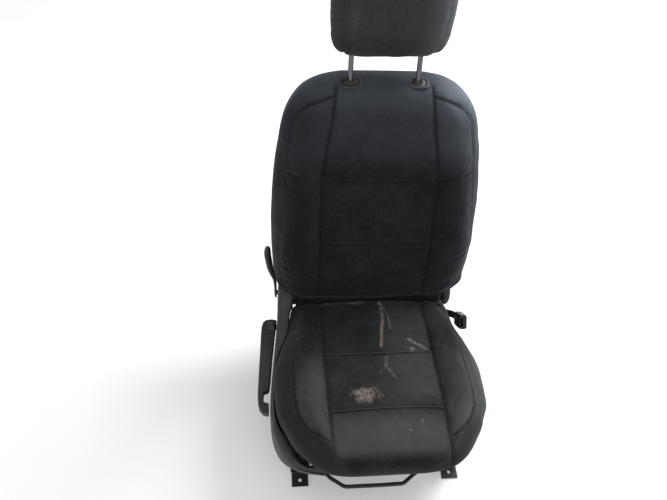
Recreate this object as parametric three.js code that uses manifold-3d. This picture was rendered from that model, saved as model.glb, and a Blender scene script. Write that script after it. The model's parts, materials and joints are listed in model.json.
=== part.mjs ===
// Front passenger-car seat on its slide rails, with height adjuster, reclining back,
// raised head restraint and belt buckle. Millimetres, +Z up, the sitter faces -Y.
// The door side (outboard) is at -X and the tunnel side (inboard) at +X.
import * as THREE from 'three';
import { mergeVertices } from 'three/addons/utils/BufferGeometryUtils.js';
import Module from 'manifold-3d';

const wasm = await Module();
wasm.setup();

// ---------------------------------------------------------------- driving dimensions
const CLEARANCE = 0.3; // between pieces that touch
const PIN_CLEARANCE = 0.4; // round a pin in its hole
const WELD = 0.5; // depth to which welded pieces run into each other

// Where the middle of the whole seat's box lies from the seat's own centre plane and datum
const BOX_CENTRE_X = -20;
const BOX_CENTRE_Y = 131;

// Slide rails
const SIDE_PLATE_INNER = 428; // between the cushion frame's two side plates
const RAIL_INSET = 9; // of each rail's middle inside its side plate
const RAIL_FRONT = -212;
const RAIL_REAR = 215;
const RAIL_WIDTH = 50;
const RAIL_HEIGHT = 26;
const RAIL_WALL = 2.2;
const RAIL_SLOT = 22;
const RAIL_FLANGE = 10; // turned-down edge beside the slot
const RAIL_ABOVE_FLOOR = 22;
const NOTCH_PITCH = 20;
const NOTCH_LENGTH = 9;
const NOTCH_COUNT = 14;
const FOOT_THICKNESS = 3.5;
const FOOT_WIDTH = 44;
const FOOT_LENGTH = 32;
const FOOT_OVERLAP = 50; // length welded under the rail
const FOOT_BOLT_HOLE = 10.5;

// Sliding upper rails
const SLIDER_FRONT = -205;
const SLIDER_REAR = 185;
const SLIDER_BASE_WIDTH = 40;
const SLIDER_WALL = 2.2;
const STEM_THICKNESS = 6;
const STEM_ABOVE_RAIL = 20;
const ROLLER_DIAMETER = 8;
const ROLLER_LENGTH = 28;
const ROLLER_REACH = 95; // of each roller from the middle of travel

// Height adjuster: four equal links between the sliders and the cushion frame
const LINK_LENGTH = 100;
const LINK_ANGLE = 40; // above horizontal, at rest
const LINK_THICKNESS = 5;
const LINK_END_RADIUS = 13;
const LINK_WAIST = 9;
const REAR_PIVOT_Y = 170; // upper pivots, on the cushion frame
const FRONT_PIVOT_Y = -110;
const LOWER_PIVOT_Z = 84;
const LINK_PIN_DIAMETER = 10;
const LINK_PIN_HEAD = 16;
const BRACKET_THICKNESS = 4;
const BRACKET_LENGTH = 64;
const BRACKET_FOOT = 52; // height of the bracket's lower edge above the floor
const CROSS_TUBE_DIAMETER = 24;
const CROSS_TUBE_WALL = 2;
const TUBE_SEGMENTS = 8; // of a quarter turn's facets on the cross tubes and their bushes, in pairs
const BUSH_WALL = 2.4;
const BUSH_FLANGE = 34;

// Cushion frame
const SIDE_PLATE_THICKNESS = 2.5;
const SIDE_PLATE_FRONT = -226;
const SIDE_PLATE_BOTTOM = 124;
const SIDE_PLATE_TOP = 185;
const SEAT_PLANE = 188; // height of the cushion's underside
const PAN_FRONT = -240;
const PAN_REAR = -62;
const PAN_WALL = 2;
const SPRING_WIRE = 4.2;
const SPRING_COUNT = 4;
const SPRING_SPACING = 84;
const SPRING_SWING = 24;
const SPRING_WAVES = 4;
const SPRING_BAR_Y = 142;
const SPRING_BAR_DIAMETER = 10;
const WIRE_STEPS = 6; // in each wave of a spring wire

// Recliner
const PIVOT_Y = 232;
const PIVOT_Z = 225;
const RECLINE = 21; // of the back from upright
const RECLINER_RADIUS = 36;
const RECLINER_LOBE = 44;
const RECLINER_ROD = 10;
const RECLINER_HUB = 26;

// Backrest frame
const MEMBER_WALL = 2.2;
const MEMBER_FLANGE = 16;
const MEMBER_FRONT = 16; // depth of the member before and behind the pivot plane
const MEMBER_BACK = 34;
const BEZEL_HEIGHT = 606; // of the head restraint's guides, up the back from its pivot
const BACK_TOP = BEZEL_HEIGHT + 20;
const MEMBER_TOP = BACK_TOP - 60;
const UPPER_TUBE_HEIGHT = MEMBER_TOP - 22;
const UPPER_TUBE_DIAMETER = 26;
const LOWER_TUBE_HEIGHT = 62;
const LOWER_TUBE_DIAMETER = 22;
const MAT_HEIGHTS = [160, 270, 380];
const MAT_WIRE = 4;
const MAT_SWING = 15;
const MAT_WAVES = 4;

// Head restraint
const POST_SPACING = 162;
const POST_DIAMETER = 13;
const POST_DEPTH = 12; // of the posts before the pivot plane
const POST_BELOW_PAD = 190;
const POST_INSIDE_PAD = 120;
const POST_STEPS = 28;
const POST_SIDES = 10;
const RESTRAINT_HEIGHT = BEZEL_HEIGHT + 62; // of the pad's underside from the pivot, as photographed
const RESTRAINT_HALF_WIDTH = 142;
const RESTRAINT_TALL = 192;
const RESTRAINT_SEAM = 118;
const SLEEVE_WALL = 2.7;
const SLEEVE_BOTTOM = UPPER_TUBE_HEIGHT - 52;
const BEZEL_LENGTH = 46;
const BEZEL_DEPTH = 28;
const BEZEL_THICKNESS = 9;
const BEZEL_TILT = 30;
const HOLDER_WALL = 2.4;
const HOLDER_LENGTH = 56;
const BUTTON_TRAVEL = 3;
const BUTTON_LENGTH = 9;

// Backrest pad, in the back's own upright frame
const BACK_PANEL_HALF = 143; // centre panel, low down
const BACK_PANEL_HALF_TOP = 118;
const BACK_INSERT_TOP = BACK_TOP - 43;
const BACK_SEAM_HIGH = 379;
const BACK_SEAM_LOW = 206;
const BACK_RIM_DEPTH = 45; // the pad's rear edge behind the pivot plane
const BACK_RECESS_DEPTH = 24.8; // floor of the pad's rear recess before the pivot plane
const BACK_RECESS_BOTTOM = 88;
const BACK_RECESS_TOP = MEMBER_TOP + 10;
const BACK_SKIRT_DEPTH = 46; // rear face of the pad below its recess
const SEAM_DEPTH = 6;
const SEAM_WIDTH = 11;
const PANEL_CROWN = 5; // of the flat panels between seams
const GUSSET_FALL = 7; // of the edge between the outer seam and the side

// Cushion pad
const CUSHION_PANEL_HALF = 141;
const CUSHION_INSERT_END = -236;
const CUSHION_SEAM_REAR = -4;
const CUSHION_SEAM_FRONT = -166;
const CUSHION_REAR = 157;
const CUSHION_NOSE = -303;

// Side covers
const SHIELD_WALL = 2.6;
const SHIELD_BOSSES = [[-20, 155], [98, 150]];
const SHIELD_BOSS_RADIUS = 6;
const INBOARD_COVER_RADIUS = 47;
const INBOARD_COVER_DEPTH = 22;
const INBOARD_COVER_WALL = 2.4;

// Controls
const LIFT_LEVER_Y = 140;
const LIFT_LEVER_Z = 185;
const LIFT_LEVER_REACH = 250;
const LIFT_LEVER_HUB = 34;
const PUMP_RADIUS = 24;
const SHAFT_DIAMETER = 14;
const RELEASE_BAR_DIAMETER = 10;
const RELEASE_PIVOT_Y = -60;
const RELEASE_PIVOT_Z = 60;
const RELEASE_PIN = 7;
const BUCKLE_ANCHOR_Y = 196;
const BUCKLE_ANCHOR_Z = 168;
const BUCKLE_HEAD = { wide: 22, deep: 40, tall: 60 };
const BUCKLE_LEAN = 45; // of the stalk, forward of upright
const BUCKLE_OFFSET = 21; // of the head, outwards from the strap's eye
const BUCKLE_BOLT = 10.8;
const STALK_LENGTH = 102;
const STALK_WIDTH = 20;
const STALK_THICKNESS = 4;
const BUCKLE_SLOT = { deep: 26, thick: 6, tall: 24 };

// ---------------------------------------------------------------- derived places
const HALF_RAIL = SIDE_PLATE_INNER / 2 - RAIL_INSET;
const STEM_TOP = RAIL_ABOVE_FLOOR + RAIL_HEIGHT + STEM_ABOVE_RAIL;
const linkRise = LINK_LENGTH * Math.sin(radians(LINK_ANGLE));
const linkRun = LINK_LENGTH * Math.cos(radians(LINK_ANGLE));
const UPPER_PIVOT_Z = LOWER_PIVOT_Z + linkRise;
const PLATE_INNER = SIDE_PLATE_INNER / 2;
const PLATE_OUTER = PLATE_INNER + SIDE_PLATE_THICKNESS;
const SLEEVE_RADIUS = POST_DIAMETER / 2 + PIN_CLEARANCE + SLEEVE_WALL;
const HOLDER_RADIUS = SLEEVE_RADIUS + CLEARANCE + HOLDER_WALL;
const RECLINER_FACE = PLATE_INNER - CLEARANCE;
const RECLINER_MIDDLE = RECLINER_FACE - 7;
const MEMBER_OUTER = RECLINER_MIDDLE - CLEARANCE - 7;

const SIDES = [
  { name: 'outboard', sign: -1 },
  { name: 'inboard', sign: 1 },
];

// ---------------------------------------------------------------- finishes
const finish = (color, roughness, metalness = 0) =>
  new THREE.MeshStandardMaterial({ color, roughness, metalness });
const zincSteel = finish(0x8d9093, 0.38, 0.9);
const blackSteel = finish(0x1c1d1f, 0.45, 0.6);
const polishedSteel = finish(0xb9bcc0, 0.2, 1);
const springSteel = finish(0x55585b, 0.4, 0.9);
const darkPlastic = finish(0x232222, 0.62);
const coverPlastic = finish(0x38353a, 0.7);
const bushPlastic = finish(0xb8b5a8, 0.5);
const backFabric = finish(0x272a35, 0.95);
const seatFabric = finish(0x2c3136, 0.95);
const rearTrim = finish(0x24262b, 0.9);
const buttonRed = finish(0x9c1f1c, 0.5);

// ---------------------------------------------------------------- geometry helpers
function radians(degrees) {
  return (degrees * Math.PI) / 180;
}

// Smooth function through pairs [position, value], positions rising, level beyond the ends
function profile(pairs) {
  const slopes = pairs.map((_, i) => {
    const before = pairs[Math.max(i - 1, 0)];
    const after = pairs[Math.min(i + 1, pairs.length - 1)];
    return (after[1] - before[1]) / (after[0] - before[0]);
  });
  return (position) => {
    if (position <= pairs[0][0]) return pairs[0][1];
    if (position >= pairs.at(-1)[0]) return pairs.at(-1)[1];
    const i = pairs.findIndex(([at]) => at > position) - 1;
    const [[start, from], [end, to]] = [pairs[i], pairs[i + 1]];
    const span = end - start;
    const s = (position - start) / span;
    const blend = from + (to - from) * s * s * (3 - 2 * s);
    return blend + span * (slopes[i] * s * (1 - s) ** 2 - slopes[i + 1] * s * s * (1 - s));
  };
}

// The same, with its values measured outwards from the side plate, for what spans the seat
function besidePlate(pairs) {
  return profile(pairs.map(([position, out]) => [position, PLATE_OUTER + out]));
}

// Straight-line function through the same kind of pairs
function ramp(pairs) {
  return (position) => {
    const i = Math.max(1, pairs.findIndex(([at]) => at > position));
    const last = position >= pairs.at(-1)[0] ? pairs.length - 1 : i;
    const [[start, from], [end, to]] = [pairs[last - 1], pairs[last]];
    const s = THREE.MathUtils.clamp((position - start) / (end - start), 0, 1);
    return from + (to - from) * s;
  };
}

// Closed body from points and triangles, turned so that its faces point out
function closedBody(points, faces) {
  const geometry = new THREE.BufferGeometry().setFromPoints(points);
  let volume = 0;
  const kept = [];
  for (let i = 0; i < faces.length; i += 3) {
    const [a, b, c] = [faces[i], faces[i + 1], faces[i + 2]];
    const flat = [[a, b], [b, c], [c, a]].some(([p, q]) => points[p].distanceTo(points[q]) < 1e-4);
    if (flat) continue;
    kept.push(a, b, c);
    volume += points[a].dot(points[b].clone().cross(points[c]));
  }
  if (volume < 0) for (let i = 0; i < kept.length; i += 3) [kept[i], kept[i + 1]] = [kept[i + 1], kept[i]];
  geometry.setIndex(kept);
  const whole = mergeVertices(geometry, 1e-4);
  whole.computeVertexNormals();
  return whole;
}

// Triangles that close one flat ring, whose points start at index first. A ring with points in
// line is closed from its middle, which is the point at index middle.
function capFaces(ring, first, middle) {
  const normal = new THREE.Vector3();
  ring.forEach((point, i) => normal.add(point.clone().cross(ring[(i + 1) % ring.length])));
  normal.normalize();
  const across = ring[1].clone().sub(ring[0]);
  across.addScaledVector(normal, -across.dot(normal)).normalize();
  const up = normal.clone().cross(across);
  const flat = ring.map((point) => new THREE.Vector2(point.dot(across), point.dot(up)));
  const triangles = THREE.ShapeUtils.triangulateShape(flat, []);
  if (triangles.length === ring.length - 2) return triangles.flat().map((index) => index + first);
  return ring.flatMap((_, i) => [first + i, first + ((i + 1) % ring.length), middle]);
}

// Body through equal rings of points, closed by a flat end at each end
function loft(rings) {
  const count = rings[0].length;
  const faces = [];
  for (let row = 0; row + 1 < rings.length; row++) {
    for (let i = 0; i < count; i++) {
      const [a, b] = [row * count + i, row * count + ((i + 1) % count)];
      faces.push(a, b, a + count, b, b + count, a + count);
    }
  }
  const total = rings.length * count;
  faces.push(...capFaces(rings[0], 0, total).reverse());
  faces.push(...capFaces(rings.at(-1), total - count, total + 1));
  const middles = [rings[0], rings.at(-1)].map((ring) =>
    ring.reduce((sum, point) => sum.add(point), new THREE.Vector3()).divideScalar(count));
  return closedBody([...rings.flat(), ...middles], faces);
}

// Sheet of even thickness behind a grid of surface points
function sheet(grid, thickness, behind) {
  const [rows, columns] = [grid.length, grid[0].length];
  const inner = grid.map((line, r) =>
    line.map((point, c) => {
      const down = grid[Math.min(r + 1, rows - 1)][c].clone().sub(grid[Math.max(r - 1, 0)][c]);
      const along = line[Math.min(c + 1, columns - 1)].clone().sub(line[Math.max(c - 1, 0)]);
      const normal = down.cross(along).normalize();
      if (normal.dot(behind(point)) < 0) normal.negate();
      return point.clone().addScaledVector(normal, thickness);
    }),
  );
  const points = [...grid.flat(), ...inner.flat()];
  const back = rows * columns;
  const at = (r, c) => r * columns + c;
  const faces = [];
  const quad = (a, b, c, d) => faces.push(a, b, c, b, d, c);
  for (let r = 0; r + 1 < rows; r++) {
    for (let c = 0; c + 1 < columns; c++) {
      quad(at(r, c), at(r, c + 1), at(r + 1, c), at(r + 1, c + 1));
      quad(back + at(r, c + 1), back + at(r, c), back + at(r + 1, c + 1), back + at(r + 1, c));
    }
    for (const [c, flip] of [[0, false], [columns - 1, true]]) {
      const [p, q] = flip ? [r + 1, r] : [r, r + 1];
      quad(at(p, c), at(q, c), back + at(p, c), back + at(q, c));
    }
  }
  for (let c = 0; c + 1 < columns; c++) {
    for (const [r, flip] of [[0, true], [rows - 1, false]]) {
      const [p, q] = flip ? [c + 1, c] : [c, c + 1];
      quad(at(r, p), at(r, q), back + at(r, p), back + at(r, q));
    }
  }
  return closedBody(points, faces);
}

function solidOf(geometry) {
  const bare = geometry.clone();
  for (const name of ['normal', 'uv']) bare.deleteAttribute(name);
  const merged = mergeVertices(bare, 1e-4);
  return new wasm.Manifold(
    new wasm.Mesh({
      numProp: 3,
      vertProperties: new Float32Array(merged.attributes.position.array),
      triVerts: new Uint32Array(merged.index.array),
    }),
  );
}

function geometryOf(solid) {
  const { vertProperties, triVerts } = solid.getMesh();
  const geometry = new THREE.BufferGeometry();
  geometry.setAttribute('position', new THREE.BufferAttribute(vertProperties, 3));
  geometry.setIndex(new THREE.BufferAttribute(triVerts, 1));
  geometry.computeVertexNormals();
  return geometry;
}

const cut = (base, ...tools) =>
  geometryOf(tools.reduce((solid, tool) => solid.subtract(solidOf(tool)), solidOf(base)));
const join = (base, ...others) =>
  geometryOf(others.reduce((solid, other) => solid.add(solidOf(other)), solidOf(base)));

// The same body on the other side of the centre plane
function mirrored(geometry) {
  const copy = geometry.index ? geometry.toNonIndexed() : geometry.clone();
  copy.scale(-1, 1, 1);
  const { position } = copy.attributes;
  for (let i = 0; i < position.count; i += 3) {
    const [a, b] = [1, 2].map((k) => new THREE.Vector3().fromBufferAttribute(position, i + k));
    position.setXYZ(i + 1, b.x, b.y, b.z);
    position.setXYZ(i + 2, a.x, a.y, a.z);
  }
  copy.computeVertexNormals();
  return copy;
}

const onSide = (geometry, sign) => (sign > 0 ? geometry : mirrored(geometry));

const toAlongX = new THREE.Matrix4().makeBasis(
  new THREE.Vector3(0, 1, 0), new THREE.Vector3(0, 0, 1), new THREE.Vector3(1, 0, 0));
const toAlongY = new THREE.Matrix4().makeBasis(
  new THREE.Vector3(1, 0, 0), new THREE.Vector3(0, 0, 1), new THREE.Vector3(0, -1, 0));

function extrude(shape, depth, curveSegments = 8) {
  return new THREE.ExtrudeGeometry(shape, { depth, bevelEnabled: false, curveSegments });
}
// A (y, z) shape from x = low to x = high
const alongX = (shape, low, high, segments) =>
  extrude(shape, high - low, segments).applyMatrix4(toAlongX).translate(low, 0, 0);
// An (x, z) shape from y = low to y = high
const alongY = (shape, low, high, segments) =>
  extrude(shape, high - low, segments).applyMatrix4(toAlongY).translate(0, high, 0);
const alongZ = (shape, low, high, segments) => extrude(shape, high - low, segments).translate(0, 0, low);

const outline = (points) => new THREE.Shape(points.map(([u, v]) => new THREE.Vector2(u, v)));

function disc(radius, u = 0, v = 0) {
  return new THREE.Shape().absarc(u, v, radius, 0, 2 * Math.PI, false);
}
function hole(radius, u, v) {
  return new THREE.Path().absarc(u, v, radius, 0, 2 * Math.PI, true);
}

// Straight bar or tube along X
function crossBar(y, z, radius, low, high, bore = 0, segments = 16) {
  const shape = disc(radius, y, z);
  if (bore) shape.holes.push(hole(bore, y, z));
  return alongX(shape, low, high, segments);
}

// Path through corner points, each corner rounded to the same radius
function bentPath(corners, radius) {
  const points = corners.map((corner) => new THREE.Vector3(...corner));
  const path = new THREE.CurvePath();
  let from = points[0];
  for (let i = 1; i + 1 < points.length; i++) {
    const into = points[i - 1].clone().sub(points[i]).normalize();
    const out = points[i + 1].clone().sub(points[i]).normalize();
    const reach = radius * Math.tan((Math.PI - into.angleTo(out)) / 2);
    const start = points[i].clone().addScaledVector(into, reach);
    const end = points[i].clone().addScaledVector(out, reach);
    path.add(new THREE.LineCurve3(from, start));
    path.add(new THREE.QuadraticBezierCurve3(start, points[i], end));
    from = end;
  }
  path.add(new THREE.LineCurve3(from, points.at(-1)));
  return path;
}

function wire(path, diameter, steps, sides = 8) {
  const round = new THREE.Shape(
    Array.from({ length: sides }, (_, i) => {
      const angle = (2 * Math.PI * (i + 0.5)) / sides;
      return new THREE.Vector2((diameter / 2) * Math.cos(angle), (diameter / 2) * Math.sin(angle));
    }),
  );
  return new THREE.ExtrudeGeometry(round, { steps, extrudePath: path, bevelEnabled: false });
}

function add(group, name, geometry, material) {
  const mesh = new THREE.Mesh(geometry, material);
  mesh.name = name;
  group.add(mesh);
  return mesh;
}

// ---------------------------------------------------------------- slide rails
function railChannel() {
  const half = RAIL_WIDTH / 2;
  const slot = RAIL_SLOT / 2;
  const [floor, top] = [RAIL_ABOVE_FLOOR, RAIL_ABOVE_FLOOR + RAIL_HEIGHT];
  const right = [
    [half, floor], [half, top], [slot, top], [slot, top - RAIL_FLANGE],
    [slot + RAIL_WALL, top - RAIL_FLANGE], [slot + RAIL_WALL, top - RAIL_WALL],
    [half - RAIL_WALL, top - RAIL_WALL], [half - RAIL_WALL, floor + RAIL_WALL],
  ];
  const left = right.map(([x, z]) => [-x, z]).reverse();
  const channel = alongY(outline([...right, ...left]), RAIL_FRONT, RAIL_REAR);
  const firstNotch = (RAIL_FRONT + RAIL_REAR - (NOTCH_COUNT - 1) * NOTCH_PITCH) / 2;
  const notches = Array.from({ length: NOTCH_COUNT }, (_, i) =>
    new THREE.BoxGeometry(RAIL_WALL * 3, NOTCH_LENGTH, RAIL_FLANGE - RAIL_WALL * 2)
      .translate(-slot - RAIL_WALL / 2, firstNotch + i * NOTCH_PITCH, top - RAIL_FLANGE / 2 - RAIL_WALL),
  );
  return cut(channel, ...notches);
}

function railFoot(end, direction) {
  const under = RAIL_ABOVE_FLOOR + WELD;
  const shape = outline([
    [-FOOT_LENGTH, 0], [2, 0], [14, under - FOOT_THICKNESS], [FOOT_OVERLAP, under - FOOT_THICKNESS],
    [FOOT_OVERLAP, under], [12, under], [0, FOOT_THICKNESS], [-FOOT_LENGTH, FOOT_THICKNESS],
  ]);
  const strip = alongX(shape, -FOOT_WIDTH / 2, FOOT_WIDTH / 2);
  const bolt = alongZ(disc(FOOT_BOLT_HOLE / 2, 0, -FOOT_LENGTH / 2), -5, FOOT_THICKNESS + 5, 8);
  const foot = cut(strip, bolt);
  if (direction < 0) foot.rotateZ(Math.PI);
  return foot.translate(0, end, 0);
}

function lowerRail() {
  return join(railChannel(), railFoot(RAIL_FRONT, 1), railFoot(RAIL_REAR, -1)).translate(HALF_RAIL, 0, 0);
}

function buildFloorRails() {
  const group = new THREE.Group();
  for (const { name, sign } of SIDES) {
    add(group, `lower_rail_${name}`, onSide(lowerRail(), sign), zincSteel);
  }
  return group;
}

// ---------------------------------------------------------------- sliding carriage
const rollerTop = RAIL_ABOVE_FLOOR + RAIL_WALL + CLEARANCE + ROLLER_DIAMETER;

function sliderSection() {
  const base = rollerTop + CLEARANCE;
  const half = SLIDER_BASE_WIDTH / 2;
  const curl = base + 10.5;
  const stem = STEM_THICKNESS / 2;
  const right = [
    [half, base], [half, curl], [half - SLIDER_WALL, curl], [half - SLIDER_WALL, base + SLIDER_WALL],
    [stem, base + SLIDER_WALL], [stem, STEM_TOP],
  ];
  const left = right.map(([x, z]) => [-x, z]).reverse();
  return alongY(outline([...right, ...left]), SLIDER_FRONT, SLIDER_REAR).translate(HALF_RAIL, 0, 0);
}

function railRoller(y) {
  return crossBar(y, rollerTop - ROLLER_DIAMETER / 2, ROLLER_DIAMETER / 2,
    HALF_RAIL - ROLLER_LENGTH / 2, HALF_RAIL + ROLLER_LENGTH / 2, 0, 6);
}

const bracketInner = HALF_RAIL + STEM_THICKNESS / 2 - WELD;

function linkBracket(pivotY) {
  const half = BRACKET_LENGTH / 2;
  const ear = LINK_END_RADIUS + 1;
  const shape = new THREE.Shape();
  shape.moveTo(-half, BRACKET_FOOT).lineTo(half, BRACKET_FOOT).lineTo(half, STEM_TOP);
  shape.absarc(0, LOWER_PIVOT_Z, ear, radians(-20), radians(200), false);
  shape.lineTo(-half, STEM_TOP);
  shape.holes.push(hole(LINK_PIN_DIAMETER / 2 + PIN_CLEARANCE, 0, LOWER_PIVOT_Z));
  return alongX(shape, bracketInner, bracketInner + BRACKET_THICKNESS).translate(0, pivotY, 0);
}

// The link runs beside its bracket, over the slider's stem
const linkOuter = bracketInner - CLEARANCE;
const linkInner = linkOuter - LINK_THICKNESS;

function linkPin(pivotY) {
  const shank = crossBar(pivotY, LOWER_PIVOT_Z, LINK_PIN_DIAMETER / 2,
    linkInner - 2.5, bracketInner + BRACKET_THICKNESS + 1, 0, 8);
  const head = crossBar(pivotY, LOWER_PIVOT_Z, LINK_PIN_HEAD / 2,
    linkInner - 5, linkInner - CLEARANCE, 0, 8);
  return join(shank, head);
}

function releasePin() {
  const stemFace = HALF_RAIL - STEM_THICKNESS / 2;
  return crossBar(RELEASE_PIVOT_Y, RELEASE_PIVOT_Z, RELEASE_PIN / 2, stemFace - 15, stemFace + WELD, 0, 8);
}

function upperRail() {
  const brackets = [FRONT_PIVOT_Y, REAR_PIVOT_Y].map((upperY) => linkBracket(upperY - linkRun));
  return join(sliderSection(), ...brackets, releasePin());
}

function buildCarriage() {
  const group = new THREE.Group();
  for (const { name, sign } of SIDES) {
    add(group, `upper_rail_${name}`, onSide(upperRail(), sign), zincSteel);
    for (const [end, upperY, rollerY] of [
      ['front', FRONT_PIVOT_Y, -ROLLER_REACH], ['rear', REAR_PIVOT_Y, ROLLER_REACH],
    ]) {
      add(group, `rail_roller_${end}_${name}`, onSide(railRoller(rollerY), sign), polishedSteel);
      add(group, `link_pin_${end}_${name}`, onSide(linkPin(upperY - linkRun), sign), polishedSteel);
    }
  }
  return group;
}

// ---------------------------------------------------------------- height links
function liftLink(upperY) {
  const boss = CROSS_TUBE_DIAMETER / 2 + 5;
  const shape = new THREE.Shape();
  shape.absarc(0, 0, LINK_END_RADIUS, radians(105), radians(255), false);
  shape.lineTo(LINK_LENGTH / 2, -LINK_WAIST);
  shape.absarc(LINK_LENGTH, 0, boss, radians(-110), radians(110), false);
  shape.lineTo(LINK_LENGTH / 2, LINK_WAIST);
  shape.holes.push(hole(LINK_PIN_DIAMETER / 2 + PIN_CLEARANCE, 0, 0));
  shape.holes.push(hole(CROSS_TUBE_DIAMETER / 2 - WELD, LINK_LENGTH, 0));
  return alongX(shape, linkInner, linkOuter)
    .rotateX(radians(LINK_ANGLE))
    .translate(0, upperY - linkRun, LOWER_PIVOT_Z);
}

function crossTube(pivotY) {
  const end = PLATE_OUTER + 3;
  return crossBar(pivotY, UPPER_PIVOT_Z, CROSS_TUBE_DIAMETER / 2, -end, end,
    CROSS_TUBE_DIAMETER / 2 - CROSS_TUBE_WALL, TUBE_SEGMENTS);
}

// The pair of links is welded to its cross tube, so both sides rise together
function buildLinks(end, pivotY) {
  const link = liftLink(pivotY);
  const group = new THREE.Group();
  add(group, `lift_frame_${end}`, join(crossTube(pivotY), link, mirrored(link)), blackSteel);
  return group;
}

// ---------------------------------------------------------------- cushion frame
function sidePlate() {
  const shape = new THREE.Shape();
  const rearOfLobe = PIVOT_Y + RECLINER_LOBE;
  shape.moveTo(SIDE_PLATE_FRONT, SIDE_PLATE_BOTTOM + 22);
  shape.lineTo(SIDE_PLATE_FRONT + 22, SIDE_PLATE_BOTTOM);
  shape.lineTo(REAR_PIVOT_Y + 26, SIDE_PLATE_BOTTOM);
  shape.lineTo(rearOfLobe - 6, PIVOT_Z - 24);
  shape.absarc(PIVOT_Y, PIVOT_Z, RECLINER_LOBE, radians(-20), radians(160), false);
  shape.quadraticCurveTo(PIVOT_Y - RECLINER_LOBE - 8, SIDE_PLATE_TOP, PIVOT_Y - 68, SIDE_PLATE_TOP);
  shape.lineTo(SIDE_PLATE_FRONT + 6, SIDE_PLATE_TOP);
  const tubeHole = CROSS_TUBE_DIAMETER / 2 + BUSH_WALL + CLEARANCE * 3;
  for (const y of [FRONT_PIVOT_Y, REAR_PIVOT_Y]) shape.holes.push(hole(tubeHole, y, UPPER_PIVOT_Z));
  shape.holes.push(hole(RECLINER_ROD / 2 + 1, PIVOT_Y, PIVOT_Z));
  const middle = (SIDE_PLATE_BOTTOM + SIDE_PLATE_TOP) / 2;
  for (const y of [-190, -50, 10, 70]) shape.holes.push(hole(15, y, middle));
  return alongX(shape, PLATE_INNER, PLATE_OUTER, 8);
}

// Flanged bush between a cross tube and its side plate
function tubeBush(pivotY) {
  const bore = CROSS_TUBE_DIAMETER / 2 + CLEARANCE;
  const barrel = crossBar(pivotY, UPPER_PIVOT_Z, bore + BUSH_WALL,
    PLATE_INNER - 1, PLATE_OUTER + 0.5, bore, TUBE_SEGMENTS);
  const flange = crossBar(pivotY, UPPER_PIVOT_Z, BUSH_FLANGE / 2,
    linkOuter + 2, PLATE_INNER - CLEARANCE, bore, TUBE_SEGMENTS);
  return join(barrel, flange);
}

// Pressed front pan, hung between the side plates, with stiffening ribs from side to side
function frontPan() {
  const top = SEAT_PLANE - CLEARANCE;
  const half = PLATE_INNER - CLEARANCE;
  const drop = (y) => (Math.abs(((y - PAN_FRONT) % 45) - 22) < 9 ? 4 : 0);
  const ys = [PAN_FRONT, ...Array.from({ length: 17 }, (_, i) =>
    PAN_FRONT + 3 + ((PAN_REAR - PAN_FRONT - 6) * i) / 16), PAN_REAR];
  const grid = ys.map((y, i) => {
    const lip = i === 0 || i === ys.length - 1 ? 10 : 0;
    const level = top - lip - drop(y);
    return [
      new THREE.Vector3(-half, y, top - 14), new THREE.Vector3(-half, y, Math.min(top - 2, level)),
      new THREE.Vector3(-half + 14, y, top - lip), new THREE.Vector3(-half + 34, y, level),
      new THREE.Vector3(half - 34, y, level), new THREE.Vector3(half - 14, y, top - lip),
      new THREE.Vector3(half, y, Math.min(top - 2, level)), new THREE.Vector3(half, y, top - 14),
    ];
  });
  return sheet(grid, PAN_WALL, (point) => new THREE.Vector3(-point.x / half, 0, -1));
}

// Zigzag wire in a plane: it runs along one axis and swings across the other
class ZigzagCurve extends THREE.Curve {
  constructor(start, end, swing, waves) {
    super();
    Object.assign(this, { start, end, swing, waves });
  }
  getPoint(t, target = new THREE.Vector3()) {
    const fade = Math.min(1, 8 * t, 8 * (1 - t));
    target.lerpVectors(this.start, this.end, t);
    return target.addScaledVector(this.swing, fade * Math.sin(2 * Math.PI * this.waves * t));
  }
}

function seatSpring(index) {
  const x = (index - (SPRING_COUNT - 1) / 2) * SPRING_SPACING;
  const z = SEAT_PLANE - CLEARANCE - SPRING_WIRE / 2;
  const start = new THREE.Vector3(x, PAN_REAR + CLEARANCE, z);
  const end = new THREE.Vector3(x, SPRING_BAR_Y - SPRING_BAR_DIAMETER / 2 - CLEARANCE, z);
  const curve = new ZigzagCurve(start, end, new THREE.Vector3(SPRING_SWING, 0, 0), SPRING_WAVES);
  return wire(curve, SPRING_WIRE, WIRE_STEPS * SPRING_WAVES, 5);
}

function springBar() {
  const half = PLATE_INNER - CLEARANCE;
  const z = SEAT_PLANE - CLEARANCE - SPRING_BAR_DIAMETER / 2;
  return crossBar(SPRING_BAR_Y, z, SPRING_BAR_DIAMETER / 2, -half, half, 0, 8);
}

// One half of a round recliner: a stepped disc with a bore for the rod
function reclinerDisc(low, high) {
  return crossBar(PIVOT_Y, PIVOT_Z, RECLINER_RADIUS, low, high, RECLINER_ROD / 2 + 0.6, 12);
}

function liftPump() {
  const low = PLATE_OUTER + CLEARANCE;
  const drum = crossBar(LIFT_LEVER_Y, LIFT_LEVER_Z, PUMP_RADIUS, low, low + 18, 0, 10);
  const cap = crossBar(LIFT_LEVER_Y, LIFT_LEVER_Z, PUMP_RADIUS * 0.6, low + 18 - 1, low + 23, 0, 8);
  return join(drum, cap);
}

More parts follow.
